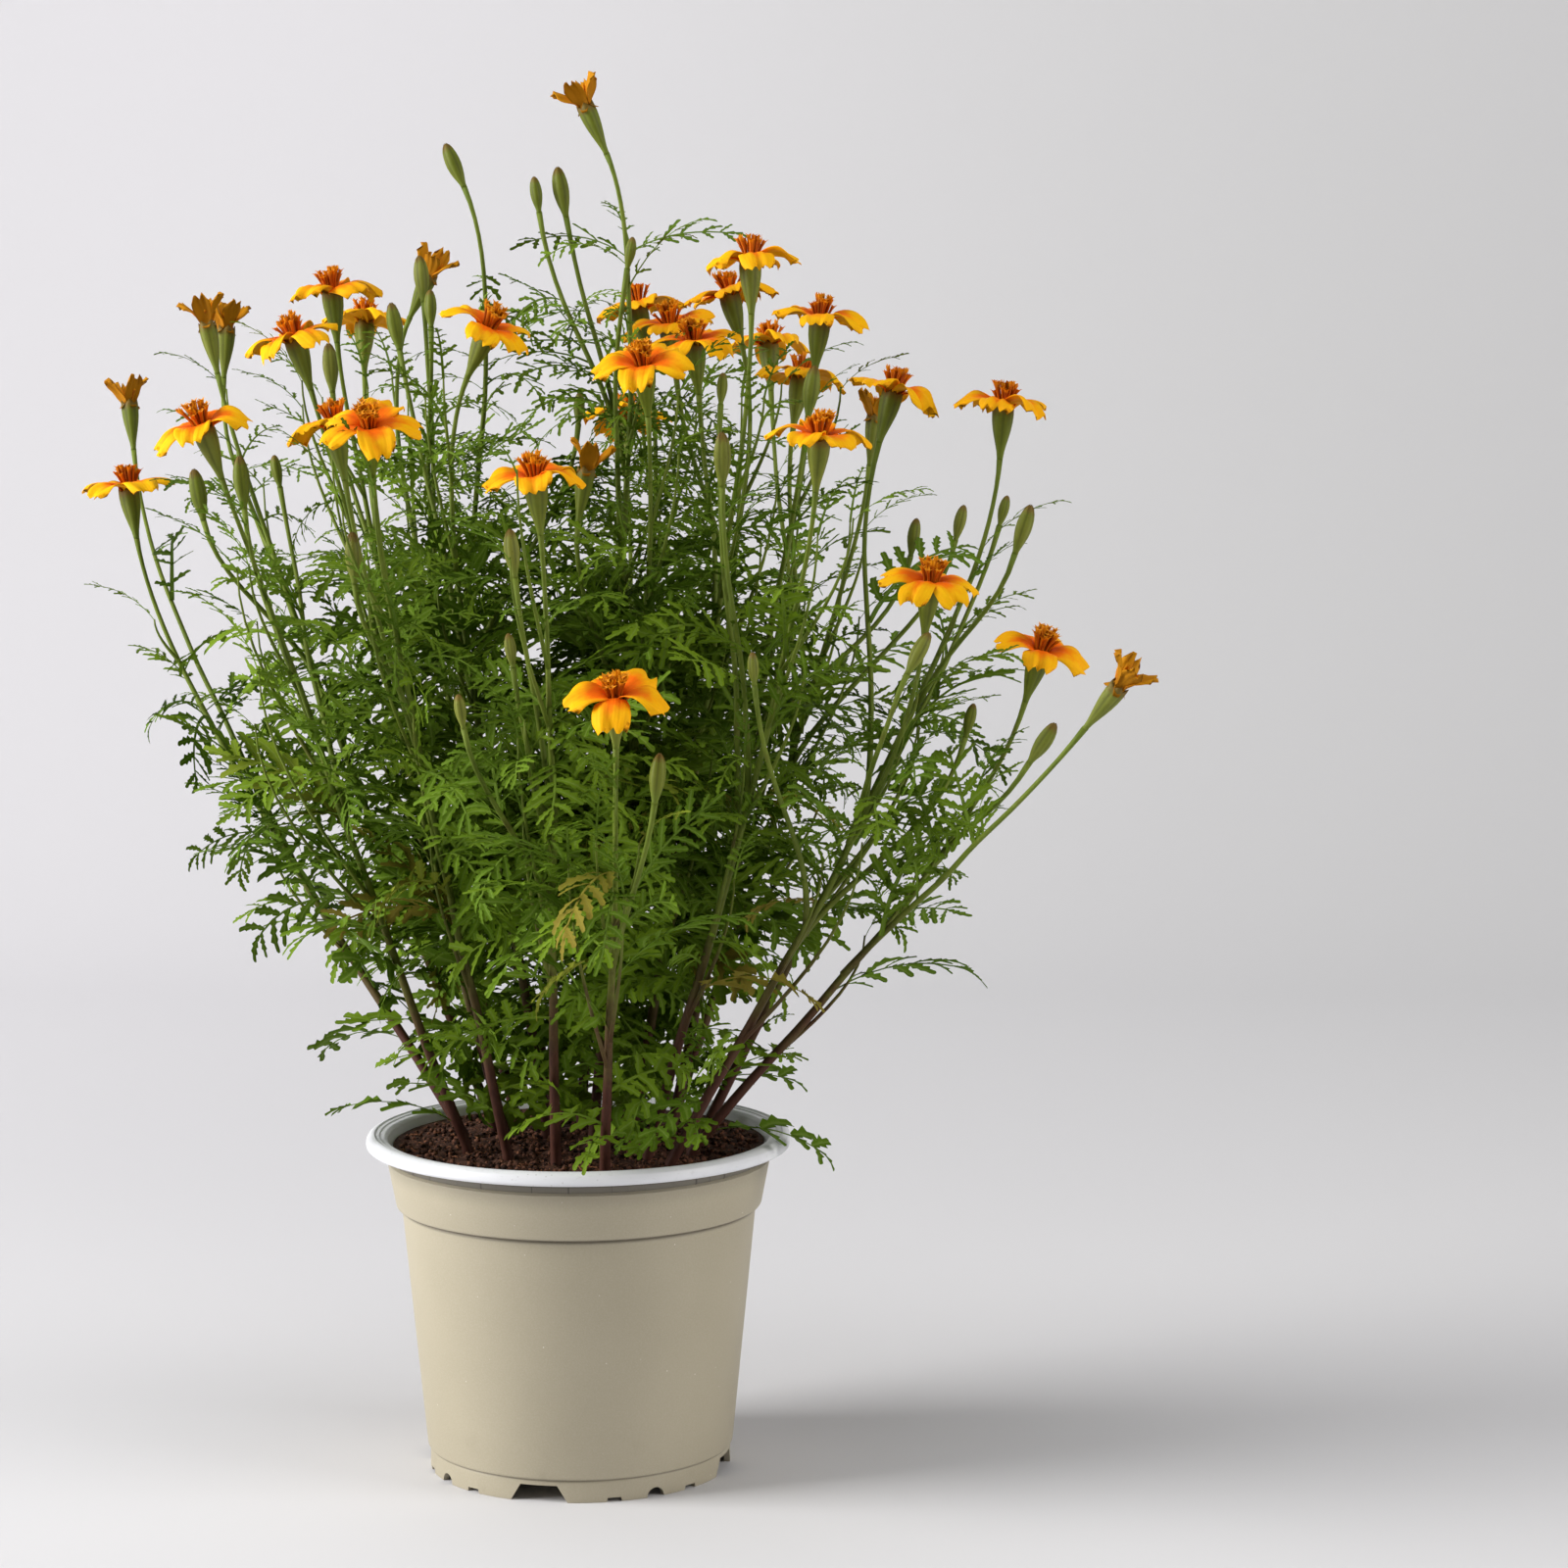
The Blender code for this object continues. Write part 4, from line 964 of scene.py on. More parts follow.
# How wide a leaflet is along its length, and how long the leaflets are along the rib
LEAFLET_FORM = (0, 0.3, 0.55, 0.85, 1), (0.36, 0.78, 1.0, 0.86, 0.30)
PAIR_LENGTHS = (0.1, 0.35, 0.55, 0.85), (0.72, 1.0, 0.92, 0.6)
END_LEAFLET, END_LEAFLET_LENGTH = 0.84, 0.18
RIB_HALF_WIDTH, RIB_LIFT = 0.015, 0.006
EXTRA_LEAVES = 1270
EXTRA_SPACING, EXTRA_BARE_STALK = 2.5 * MM, 22 * MM
TWIG_LEAF_SITES = 16
TWIG_LEAVES, TWIG_LEAF_BEND = (24, 34), 0.9
# How leaves rise and bend, in degrees: those below this height hang, and those above it stand up
HANGING_BELOW, HANGING_RISES, STANDING_RISES, BENDS = 150 * MM, (-30, 45), (5, 68), (35, 100)
# The drooping leaves: on which stems, how far up them, how they grow and how much room they have
FRONT_STEMS, LOW_SHARES, LOW_TRIES, LOW_ROOM = ("21", "16", "20"), (0.05, 0.08, 0.12), 20, 6 * MM
LOW_RISES, LOW_BENDS, LOW_LENGTHS = (-10, 30), (50, 95), (24, 36)
LINING_REACH, OVER_LIP, OVER_SOIL = 53 * MM, 4 * MM, 2 * MM
PLANT_RADIUS = 143 * MM
FLOWER_ROOM = 16 * MM
# Beyond this radius the leaves stay above a slope that rises from just over the rim
OVER_RIM, RIM_ROOM, RIM_SLOPE = 42 * MM, 6 * MM, 0.55
# How far the close foliage reaches from its heart, to the left, the right, and the front and back
HEART = 4 * MM
LEFT_REACH, RIGHT_REACH, DEPTH_REACH = 84 * MM, 58 * MM, 92 * MM
# How much room a leaf has in the heart and at the outside, and where the outside starts and is full
LEAF_ROOM, OUTER_ROOM = 4.2 * MM, 10.0 * MM
AIRY_TOP, AIRY_TOP_DEPTH = 285 * MM, 90 * MM
AIRY_FOOT, AIRY_FOOT_DEPTH = 175 * MM, 60 * MM
# The share of places that stay bare, at the sides and at the foot, and the most at the top and right
BARE_SIDES, BARE_FOOT, BARE_TOP, BARE_RIGHT = 0.70, 0.30, 0.24, 0.15
FOOT_END, TOP_START, TOP_DEPTH = 165 * MM, 230 * MM, 200 * MM
RIGHT_START, RIGHT_DEPTH = 50 * MM, 150 * MM


def leaf_pattern(pairs, longest, slender, teeth, cut, chance):
    """A flat leaf one unit long: (along, across, lift) points, faces, and how far each is from a rib."""
    points, faces, edge = [], [], []

    def leaflet(base, angle, reach, side):
        bow, sag = chance.uniform(-0.35, 0.15), chance.uniform(0.0, 0.4)
        tilt, twist = chance.uniform(-0.1, 0.3), chance.uniform(-0.4, 0.4)

        def spot(share, wide):
            way = angle + bow * share
            along = base + reach * share * math.cos(way) - wide * math.sin(way)
            out = reach * share * math.sin(way) + wide * math.cos(way)
            lift = reach * (tilt * share - sag * share**2) + wide * twist + abs(wide) * 0.3
            points.append((along, side * out, lift))
            edge.append(0.0 if wide == 0 else 1.0)

        def half_width(share):
            return slender * reach * float(np.interp(share, *LEAFLET_FORM))

        rib = len(points)
        for at in range(teeth + 1):
            spot(at / teeth, 0.0)
        for half in (-1, 1):
            start = len(points)
            for at in range(teeth + 1):
                notched = cut if 0 < at < teeth else 1.0
                spot(at / teeth, half * half_width(at / teeth) * notched)
                if at < teeth:
                    share = (at + 0.78) / teeth
                    spot(share, half * half_width(share) * chance.uniform(1.0, 1.3))
            for at in range(teeth):
                low, tip, high = start + 2 * at, start + 2 * at + 1, start + 2 * at + 2
                near, far = rib + at, rib + at + 1
                if half * side > 0:
                    faces.extend([(near, far, tip, low), (far, high, tip)])
                else:
                    faces.extend([(low, tip, far, near), (tip, high, far)])

    for base in np.linspace(FIRST_PAIR, LAST_PAIR, pairs):
        size = longest * float(np.interp(base, *PAIR_LENGTHS))
        for side in (1, -1):
            shift, angle = chance.uniform(-0.03, 0.03), math.radians(chance.uniform(38, 62))
            leaflet(base + shift, angle, size * chance.uniform(0.75, 1.15), side)
    leaflet(END_LEAFLET, chance.uniform(-0.1, 0.1), END_LEAFLET_LENGTH, 1)
    start = len(points)
    stops = [0.0, *np.linspace(0.1, 0.9, 9)]
    for along in stops:
        half = RIB_HALF_WIDTH * (1 - 0.6 * along)
        points.extend([(along, half, 0.0), (along, 0.0, RIB_LIFT), (along, -half, 0.0)])
        edge.extend([0.35, 0.0, 0.35])
    for at in range(len(stops) - 1):
        near = start + 3 * at
        faces.extend([(near, near + 1, near + 4, near + 3), (near + 1, near + 2, near + 5, near + 4)])
    return np.array(points), faces, np.array(edge)


def leaf_length(height):
    """Long in the middle of the plant, short low down and near the flowers."""
    if height < LOW:
        return MIDDLE_LEAF
    return LONG_LEAF if height < HIGH else SHORT_LEAF


def bent_leaf(pattern, root, azimuth, roll, rise, length, bend=LEAF_BEND, twist=0.0, sweep=0.0):
    """A leaf pattern laid along a rib that arches over from its root."""
    along, across, lift = pattern.T
    across = across + sweep * along**2
    out = np.array((*polar(1.0, azimuth), 0.0))
    up = np.array((0.0, 0.0, 1.0))
    level_side = np.cross(up, out)
    pitch = rise - bend * along
    level = (math.sin(rise) - np.sin(pitch)) / bend
    high = (np.cos(pitch) - math.cos(rise)) / bend
    heading = np.outer(np.cos(pitch), out) + np.outer(np.sin(pitch), up)
    turned = (roll + twist * along)[:, None]
    side = level_side * np.cos(turned) + np.cross(heading, level_side) * np.sin(turned)
    normal = np.cross(heading, side)
    middle = np.array(root) + (np.outer(level, out) + np.outer(high, up)) * length
    return middle + (side * across[:, None] + normal * lift[:, None]) * length


def along_corners(corners, distance):
    for near, far in zip(corners, corners[1:]):
        step = (far - near).length
        if distance <= step:
            return near.lerp(far, distance / step)
        distance -= step
    return corners[-1]


def leaf_sites(curve, order, bare, spacing):
    """Places along one stem where a leaf could grow, with the way it would point and its roll."""
    corners = corners_of(curve)
    length = sum((far - near).length for near, far in zip(corners, corners[1:]))
    first = FIRST_LEAF if order == 0 else FIRST_BRANCH_LEAF
    sites = []
    for at in range(max(0, int((length - bare - first) / spacing))):
        place = along_corners(corners, first + at * spacing)
        turn = order * BRANCH_TURN + at * GOLDEN_ANGLE
        sites.append((place, turn, LARGEST_ROLL * math.sin(3 * turn)))
    return sites


RIB_MARKS = np.array([(0.14, 0.0, 0.0), (0.8, 0.0, 0.0), (1.0, 0.0, 0.0)])
TEST_MARKS = np.array([(0.3, 0.0, 0.0), (0.55, 0.0, 0.0), (0.8, 0.0, 0.0), (1.02, 0.0, 0.0)])


def solid_leaves(number):
    """The leaves that the solid stem has, found by where their ribs lie."""
    solid = frame["nodes"]["leafy_stem_" + number]
    places = [solid.matrix_world @ vertex.co for vertex in solid.data.vertices]
    tree = BVHTree.FromPolygons(places, [tuple(face.vertices) for face in solid.data.polygons])
    found = []
    solid_curves = curves[number][: len(STEMS[number]) - 1]
    for order, curve in enumerate(solid_curves):
        for place, turn, roll in leaf_sites(curve, order, BARE_STALK, SITE_SPACING):
            for quarter in range(4):
                azimuth = turn + quarter * math.pi / 2
                for degrees in RISES:
                    rise = math.radians(degrees)
                    marks = bent_leaf(RIB_MARKS, place, azimuth, roll, rise, leaf_length(place.z))
                    near = [tree.find_nearest(Vector(mark), 0.5 * MM)[0] for mark in marks]
                    if all(spot is not None for spot in near):
                        found.append((place, azimuth, roll, rise))
    return found


def make_leaf_skin():
    leaf = Finish("leaf_skin", Specular_IOR_Level=0.06)
    edge, shade = leaf.painted("edge"), leaf.painted("shade")
    z = leaf.axes()[2]
    patch = leaf.speckle(30 * MM, 3.0)
    fine = leaf.speckle(1.1 * MM, 3.0)
    deep = leaf.blend(fine, (0.068, 0.132, 0.007), (0.112, 0.200, 0.012))
    fresh = leaf.blend(fine, (0.120, 0.205, 0.008), (0.172, 0.270, 0.015))
    young = leaf.ease(shade * 0.7 + patch * 0.5 + leaf.ease(z, 0.20, 0.10) * 0.10, 0.38, 1.0)
    colour = leaf.blend(young, deep, fresh)
    colour = leaf.blend(leaf.ease(edge, 0.40, 0.0) * 0.60, colour, (0.190, 0.280, 0.050))
    old = leaf.ease(shade, 0.965, 0.985) * leaf.ease(z, 0.24, 0.18)
    colour = leaf.blend(old * 0.8, colour, leaf.blend(fine, (0.30, 0.22, 0.03), (0.20, 0.13, 0.03)))
    gland = leaf.ease(leaf.cells(1.6 * MM), 0.14, 0.07)
    colour = leaf.blend(gland * 0.3, colour, (0.19, 0.24, 0.03))
    leaf.feed(Base_Color=colour, Roughness=0.55 + 0.22 * fine)
    leaf.bump(fine + (1 - leaf.ease(edge, 0.15, 0.0)) * 0.5, 0.15 * MM, 0.5)
    return leaf.material


draw = random.Random(LEAF_SEED)
BROAD = [leaf_pattern(4, 0.28, 0.25, 3, 0.58, draw) for _ in range(4)]
CUT = [leaf_pattern(6, 0.27, 0.145, 4, 0.58, draw) for _ in range(5)]
FINE = [leaf_pattern(5, 0.21, 0.140, 3, 0.50, draw) for _ in range(6)]


def pattern_for(height, chance):
    if height < chance.uniform(130, 165) * MM:
        return chance.choice(BROAD)
    if chance.uniform(200, 310) * MM > height:
        return chance.choice(CUT)
    return chance.choice(FINE)


leaf_skin = make_leaf_skin()
foliage = {number: Shape("edge", "shade") for number in STEMS}
taken = []


def grow_leaf(number, place, azimuth, roll, rise, length, **form):
    pattern, faces, edge = pattern_for(place.z, draw)
    points = bent_leaf(pattern, place, azimuth, roll, rise, length, **form)
    foliage[number].add(points, faces, 0, edge=edge, shade=draw.random())
    taken.append(Vector(points.mean(axis=0)))


for number in STEMS:
    for place, azimuth, roll, rise in solid_leaves(number):
        grow_leaf(number, place, azimuth, roll, rise, leaf_length(place.z), twist=draw.uniform(-0.3, 0.3))

blossoms = [head_top(head) for _, *heads in STEMS.values() for head in heads]
blossoms += [head_top(head) for _, head in SIDE_BUDS]
wishes = []
for number, stem_curves in curves.items():
    for order, curve in enumerate(stem_curves):
        for place, turn, roll in leaf_sites(curve, order, EXTRA_BARE_STALK, EXTRA_SPACING):
            for quarter in range(4):
                wishes.append((number, place, turn + quarter * math.pi / 2 + draw.uniform(-0.4, 0.4), roll))
    for twig in twigs[number]:
        for at in range(TWIG_LEAF_SITES):
            wishes.append((number, bezier(*twig, 0.2 + 0.05 * at), draw.uniform(0, math.tau), 0.3))
draw.shuffle(wishes)


def out_of_place(points):
    """Whether a leaf there would cover a flower, leave the plant's outline or touch the pot."""
    for point in points:
        away = math.hypot(point.x, point.y)
        if away > PLANT_RADIUS or point.z < SOIL_EDGE_HEIGHT + 2.5 * MM:
            return True
        if away > OVER_RIM and point.z < RIM_TOP + RIM_ROOM + (away - OVER_RIM) * RIM_SLOPE:
            return True
        if any((blossom - point).length < FLOWER_ROOM for blossom in blossoms):
            return True
    return False


def openness(point):
    """0 in the heart of the plant and 1 at its sides, where it is light and airy."""
    across = point.x - HEART
    across /= RIGHT_REACH if across > 0 else LEFT_REACH
    return min(1.0, across**2 + (point.y / DEPTH_REACH) ** 2)


def bareness(point):
    """How likely it is that no leaf grows there: more at the sides, foot and top, and on the right."""
    foot = BARE_FOOT if point.z < FOOT_END else 0.0
    top = min(BARE_TOP, max(0.0, (point.z - TOP_START) / TOP_DEPTH))
    right = min(BARE_RIGHT, max(0.0, (point.x - RIGHT_START) / RIGHT_DEPTH))
    return BARE_SIDES * openness(point) + foot + top + right


def room_for(point):
    """How much room a leaf has: little in the heart of the plant, more at its sides, top and foot."""
    high = max(0.0, point.z - AIRY_TOP) / AIRY_TOP_DEPTH
    low = max(0.0, AIRY_FOOT - point.z) / AIRY_FOOT_DEPTH
    return LEAF_ROOM + (OUTER_ROOM - LEAF_ROOM) * min(1.0, max(openness(point), high, low))


grid = {}


def has_room(point):
    room = room_for(point)
    x, y, z = (int(value // OUTER_ROOM) for value in point)
    for i in (-1, 0, 1):
        for j in (-1, 0, 1):
            for k in (-1, 0, 1):
                if any((other - point).length < room for other in grid.get((x + i, y + j, z + k), ())):
                    return False
    return True


def settle(point):
    grid.setdefault(tuple(int(value // OUTER_ROOM) for value in point), []).append(point)


for spot in taken:
    settle(spot)
for number, shoots in twigs.items():
    for twig in shoots:
        place, ahead = bezier(*twig, 0.98), twig[3] - twig[0]
        azimuth = math.atan2(ahead.y, ahead.x) + draw.uniform(-0.5, 0.5)
        rise, length = math.radians(draw.uniform(45, 75)), draw.uniform(*TWIG_LEAVES) * MM
        twist = draw.uniform(-0.5, 0.5)
        grow_leaf(number, place, azimuth, 0.0, rise, length, bend=TWIG_LEAF_BEND, twist=twist)
        settle(taken[-1])


def rib_marks(*leaf):
    """Four places along the rib of a leaf, by which it is tested before it grows."""
    return [Vector(mark) for mark in bent_leaf(TEST_MARKS, *leaf)]


grown = 0
for number, place, azimuth, roll in wishes:
    if grown == EXTRA_LEAVES:
        break
    if draw.random() < bareness(place):
        continue
    rises = HANGING_RISES if place.z < HANGING_BELOW else STANDING_RISES
    rise, bend = math.radians(draw.uniform(*rises)), math.radians(draw.uniform(*BENDS))
    length = leaf_length(place.z) * draw.uniform(0.65, 1.05) * (1 - 0.2 * openness(place))
    marks = rib_marks(place, azimuth, roll, rise, length, bend)
    if out_of_place(marks) or not has_room(marks[1]):
        continue
    settle(marks[1])
    twist, sweep = draw.uniform(-0.9, 0.9), draw.uniform(-0.25, 0.25)
    grow_leaf(number, place, azimuth, roll, rise, length, bend=bend, twist=twist, sweep=sweep)
    grown += 1


def hangs_clear(points):
    """Whether a low leaf hangs free of the soil and the rim."""
    for point in points:
        over_rim = math.hypot(point.x, point.y) > LINING_REACH
        lowest = RIM_TOP + OVER_LIP if over_rim else soil_height(point.x, point.y) + OVER_SOIL
        if point.z < lowest:
            return False
    return True


# The lowest leaves of the stems in front droop until their tips almost touch the soil.
for number in FRONT_STEMS:
    for share in LOW_SHARES:
        place = bezier(*curves[number][0], share)
        for _ in range(LOW_TRIES):
            azimuth = draw.uniform(-1.2, 1.2) - math.pi / 2
            rise, bend = math.radians(draw.uniform(*LOW_RISES)), math.radians(draw.uniform(*LOW_BENDS))
            length = draw.uniform(*LOW_LENGTHS) * MM
            marks = rib_marks(place, azimuth, 0.0, rise, length, bend)
            if hangs_clear(marks) and all((other - marks[1]).length > LOW_ROOM for other in taken):
                twist = draw.uniform(-0.5, 0.5)
                grow_leaf(number, place, azimuth, 0.0, rise, length, bend=bend, twist=twist)
                break

for number, leaves in foliage.items():
    if leaves.count:
        add_piece("leaves_" + number, leaves.mesh("leaves_" + number), [leaf_skin], "greenery")


# Each bloom is a ring of soft orange-yellow petals with notched, wavy ends, and in its middle a crown
# of tubular florets with star-shaped mouths, all held by the green cup under it.

# The petals' turns come from the seed of the solids, and their waves and florets from another
SOLID_SEED, DETAIL_SEED = 11, 31
PETAL_REACH = 15.2 * MM
PETAL_HALF_WIDTH = 4.6 * MM
PETAL_ROWS, PETAL_COLUMNS = 12, 10
PETAL_THICKNESS = 0.22 * MM
# How wide a petal is along its length, and where its narrow claw ends and bends down into the cup
PETAL_FORM = (0, 0.15, 0.4, 0.68, 0.88, 1.0), (0.30, 0.56, 0.88, 1.0, 0.98, 0.80)
CLAW_END, CLAW_DEPTH, CLAW_START = 0.22, 2.4 * MM, 1.4 * MM
PETAL_HINGE = 2.6 * MM
PETAL_BOW, PETAL_CREASE = 1.3 * MM, 0.25 * MM
# The petals of a half-open head: how long, how wide to one side, and how far they droop
HALF_PETAL = 11.5 * MM, 2.9 * MM, -0.5 * MM
CROWN_FLORETS, HALF_FLORETS, HALF_CROWN = 21, 7, 0.72
# A floret: how wide its tube is at each share of its height, and its star-shaped mouth
FLORET_FORM = ((0.0, 0.45), (0.35, 0.50), (0.7, 0.62), (0.9, 0.82), (1.0, 0.92))
FLORET_SIDES, FLORET_RADIUS, FLORET_HEIGHT = 5, 0.78 * MM, 6.2
OPEN_STAR, CLOSED_STAR = (2.1, 0.45 * MM), (0.8, 1.1 * MM)
THROAT_DEPTH = 0.9 * MM


def moved(points, matrix):
    matrix = np.array(matrix)
    return points @ matrix[:3, :3].T + matrix[:3, 3]


def petal_sheet(reach, half_width, droop, rise, roll, spin, erect, chance):
    """One petal: its points, its upper and under faces, and where each point is along and across it."""
    ripple, phase = chance.uniform(0.45, 1.05) * MM, chance.uniform(0, math.tau)
    hollow = chance.uniform(-1.8, 1.2) * MM
    lobe = chance.uniform(-0.2, 0.2)
    notch = chance.uniform(0.10, 0.22)
    rows, columns = PETAL_ROWS, PETAL_COLUMNS
    u = np.repeat(np.linspace(0, 1, rows + 1), columns + 1)
    v = np.tile(np.linspace(-1, 1, columns + 1), rows + 1)
    width = np.interp(u, *PETAL_FORM) * half_width
    lobes = 1 - notch * np.cos((v - lobe) * math.pi) ** 2 * (np.abs(v) < 0.55) - 0.20 * np.abs(v) ** 4
    x = -0.5 * MM + (reach + 0.5 * MM) * u * (1 - (1 - lobes) * u**3)
    y = v * width
    cupping = hollow * v**2 * np.sin(u * math.pi * 0.72)
    waves = ripple * np.sin(v * 3.2 * math.pi + phase) * u**2 + 0.3 * ripple * np.sin(u * 9 + phase) * v
    crease = -PETAL_CREASE * np.exp(-(v / 0.16) ** 2) * u
    bow = PETAL_BOW * np.sin(u * math.pi) - droop * np.clip((u - 0.45) / 0.55, 0, 1) ** 2
    claw = np.clip(1 - u / CLAW_END, 0, 1)
    z = cupping + waves + crease + bow - claw**1.5 * CLAW_DEPTH
    x = np.where(claw > 0, x * (1 - 0.25 * claw) + CLAW_START * claw, x)
    hinge = Matrix.Translation((PETAL_HINGE, 0.0, 0.0))
    lift = hinge @ Matrix.Rotation(-rise, 4, "Y") @ Matrix.Rotation(roll, 4, "X") @ hinge.inverted()
    turn = Matrix.Rotation(spin, 4, "Z") @ lift
    flat = np.stack([x, y, z], axis=1)
    if erect:
        flat[:, 2] += 0.5 * MM
    lower = flat - np.array((0.0, 0.0, PETAL_THICKNESS))
    both = moved(np.concatenate([flat, lower]), turn)
    line = columns + 1
    size = (rows + 1) * line
    starts = [row * line + column for row in range(rows) for column in range(columns)]
    upper = [(at, at + line, at + line + 1, at + 1) for at in starts]
    under = [tuple(size + corner for corner in reversed(corners)) for corners in upper]
    border = [*range(columns), *range(columns, rows * line, line)]
    border += [*range(size - 1, rows * line, -1), *range(rows * line, 0, -line)]
    upper += [(near, far, size + far, size + near) for near, far in zip(border, border[1:] + border[:1])]
    return both, upper, under, np.tile(u, 2), np.tile(v, 2)


def floret(lean, turn, height, foot, wide, open_mouth):
    """A small tube that leans out and ends in a five-pointed star: points, faces and how high each is."""
    sides = FLORET_SIDES
    outward = np.array((*polar(1.0, turn), 0.0))
    points, high = [], []
    angle = turn + np.arange(sides) * math.tau / sides
    for share, radius in FLORET_FORM:
        middle = outward * (foot + lean * share**1.5) + np.array((0, 0, height * share))
        ring = np.stack([np.cos(angle), np.sin(angle), np.zeros(sides)], axis=1) * radius * wide
        points += list(middle + ring)
        high += [share] * sides
    faces = bands(len(FLORET_FORM), sides)
    mouth = (len(FLORET_FORM) - 1) * sides
    top = outward * (foot + lean) + np.array((0, 0, height))
    between = angle + math.pi / sides
    flare, rise = OPEN_STAR if open_mouth else CLOSED_STAR
    for spoke in range(sides):
        tip = top + np.array((*polar(1.0, between[spoke]), 0)) * wide * flare
        points.append(tip + np.array((0, 0, rise)))
        high.append(1.15)
        faces.append((mouth + spoke, mouth + (spoke + 1) % sides, len(points) - 1))
    points.append(top - np.array((0, 0, THROAT_DEPTH)))
    high.append(0.55)
    for spoke in range(sides):
        faces.append((mouth + (spoke + 1) % sides, mouth + spoke, len(points) - 1))
    return np.array(points), faces, np.array(high)


def make_bloom(number, head, chance, detail):
    """One flower head, with the same draws of chance as its solid."""
    bloom = Shape("along", "across", "shade")
    axis = head_axis(head)
    stand = axis.to_track_quat("Z", "Y").to_matrix().to_4x4()
    place = Matrix.Translation(head_top(head) + axis * GAP) @ stand
    half_open = head[0] == "half"
    count = 4 if half_open else 5
    step = math.tau / count
    start = chance.uniform(0, step)
    tone = detail.random()
    for at in range(count):
        spin = start + at * step + math.radians(chance.uniform(-5, 5))
        if half_open:
            shape = (*HALF_PETAL, math.radians(chance.uniform(48, 64)), 0.0)
        else:
            reach = PETAL_REACH * chance.uniform(0.9, 1.03)
            rise, roll = math.radians(chance.uniform(2, 12)), math.radians(chance.uniform(-14, 14))
            shape = (reach, PETAL_HALF_WIDTH * 1.16, chance.uniform(1.0, 4.5) * MM, rise, roll)
        points, upper, under, u, v = petal_sheet(*shape, spin, half_open, detail)
        age = 0.85 + 0.15 * tone if half_open else 0.45 * tone
        kinds = [0] * len(upper) + [1] * len(under)
        bloom.add(moved(points, place), upper + under, kinds, along=u, across=np.abs(v), shade=age)
    size, florets = (HALF_CROWN, HALF_FLORETS) if half_open else (1.0, CROWN_FLORETS)
    for at in range(florets):
        share = math.sqrt((at + 0.5) / florets)
        turn = at * GOLDEN_ANGLE + detail.uniform(-0.2, 0.2)
        height = (FLORET_HEIGHT - 0.9 * share**3 + detail.uniform(-1.5, 1.3)) * MM * size
        foot, lean = 2.1 * MM * share * size, detail.uniform(1.2, 2.9) * MM * share * size
        opened = detail.random() < 0.35 + 0.6 * share and not half_open
        points, faces, high = floret(lean, turn, height, foot, FLORET_RADIUS * size, opened)
        bloom.add(moved(points, place), faces, 2, along=high, across=share, shade=detail.random())
    return bloom.mesh("bloom_" + number)


def make_petal_silk():
    petal = Finish("petal_silk", Specular_IOR_Level=0.12)
    along, across, shade = petal.painted("along"), petal.painted("across"), petal.painted("shade")
    cloud = petal.speckle(3.2 * MM, 3.0)
    vein = petal.node("ShaderNodeMath", {"operation": "SINE"}, across * 34.0 + along * 2.0) * 0.5 + 0.5
    fine = petal.speckle(0.5 * MM, 2.0)
    yellow = petal.blend(cloud, (0.98, 0.44, 0.001), (0.99, 0.58, 0.002))
    yellow = petal.blend(petal.ease(shade, 0.0, 0.5) * 0.35, yellow, (0.96, 0.36, 0.001))
    blotch = petal.ease(along + cloud * 0.40 + across * 0.34, 1.16, 0.70)
    colour = petal.blend(blotch, yellow, (0.95, 0.160, 0.001))
    colour = petal.blend(petal.ease(vein, 0.7, 1.0) * 0.12, colour, (0.88, 0.27, 0.001))
    colour = petal.blend(petal.ease(shade, 0.5, 0.9) * 0.85, colour, (0.46, 0.185, 0.002))
    petal.feed(Base_Color=colour, Roughness=0.55 + 0.2 * fine)
    petal.bump(vein * 0.5 + fine * 0.4, 0.12 * MM, 0.5)
    return petal.material


def make_petal_back():
    back = Finish("petal_back", Specular_IOR_Level=0.12)
    along, shade = back.painted("along"), back.painted("shade")
    cloud = back.speckle(2.6 * MM, 3.0)
    fade = back.ease(along + cloud * 0.3, 0.1, 0.6)
    colour = back.blend(fade, (0.55, 0.25, 0.003), (0.88, 0.36, 0.002))
    colour = back.blend(back.ease(shade, 0.5, 0.9) * 0.85, colour, (0.33, 0.13, 0.002))
    back.feed(Base_Color=colour, Roughness=0.60 + 0.15 * cloud)
    back.bump(cloud, 0.15 * MM, 0.4)
    return back.material


def make_floret_wax():
    wax = Finish("floret_wax", Specular_IOR_Level=0.2)
    along, shade = wax.painted("along"), wax.painted("shade")
    fine = wax.speckle(0.8 * MM, 2.0)
    body = wax.blend(shade, (0.34, 0.070, 0.001), (0.60, 0.165, 0.001))
    colour = wax.blend(wax.ease(along + fine * 0.15, 0.84, 1.12), body, (0.80, 0.31, 0.003))
    colour = wax.blend(wax.ease(along, 0.40, 0.05) * 0.5, colour, (0.66, 0.27, 0.01))
    wax.feed(Base_Color=colour, Roughness=0.50 + 0.2 * fine)
    wax.bump(fine, 0.1 * MM, 0.4)
    return wax.material


bloom_finishes = [make_petal_silk(), make_petal_back(), make_floret_wax()]
chance, detail = random.Random(SOLID_SEED), random.Random(DETAIL_SEED)
blooming = [head for _, *heads in STEMS.values() for head in heads if head[0] != "bud"]
for at, head in enumerate(blooming, 1):
    number = f"{at:02d}"
    mesh = make_bloom(number, head, chance, detail)
    add_piece("flower_" + number, mesh, bloom_finishes, "petals", "bloom_" + number)


# The stage: a pale floor that curves up into a pale backdrop, a large soft light from the left, weaker
# ones from the right and from above, and the camera where the photograph was taken from.

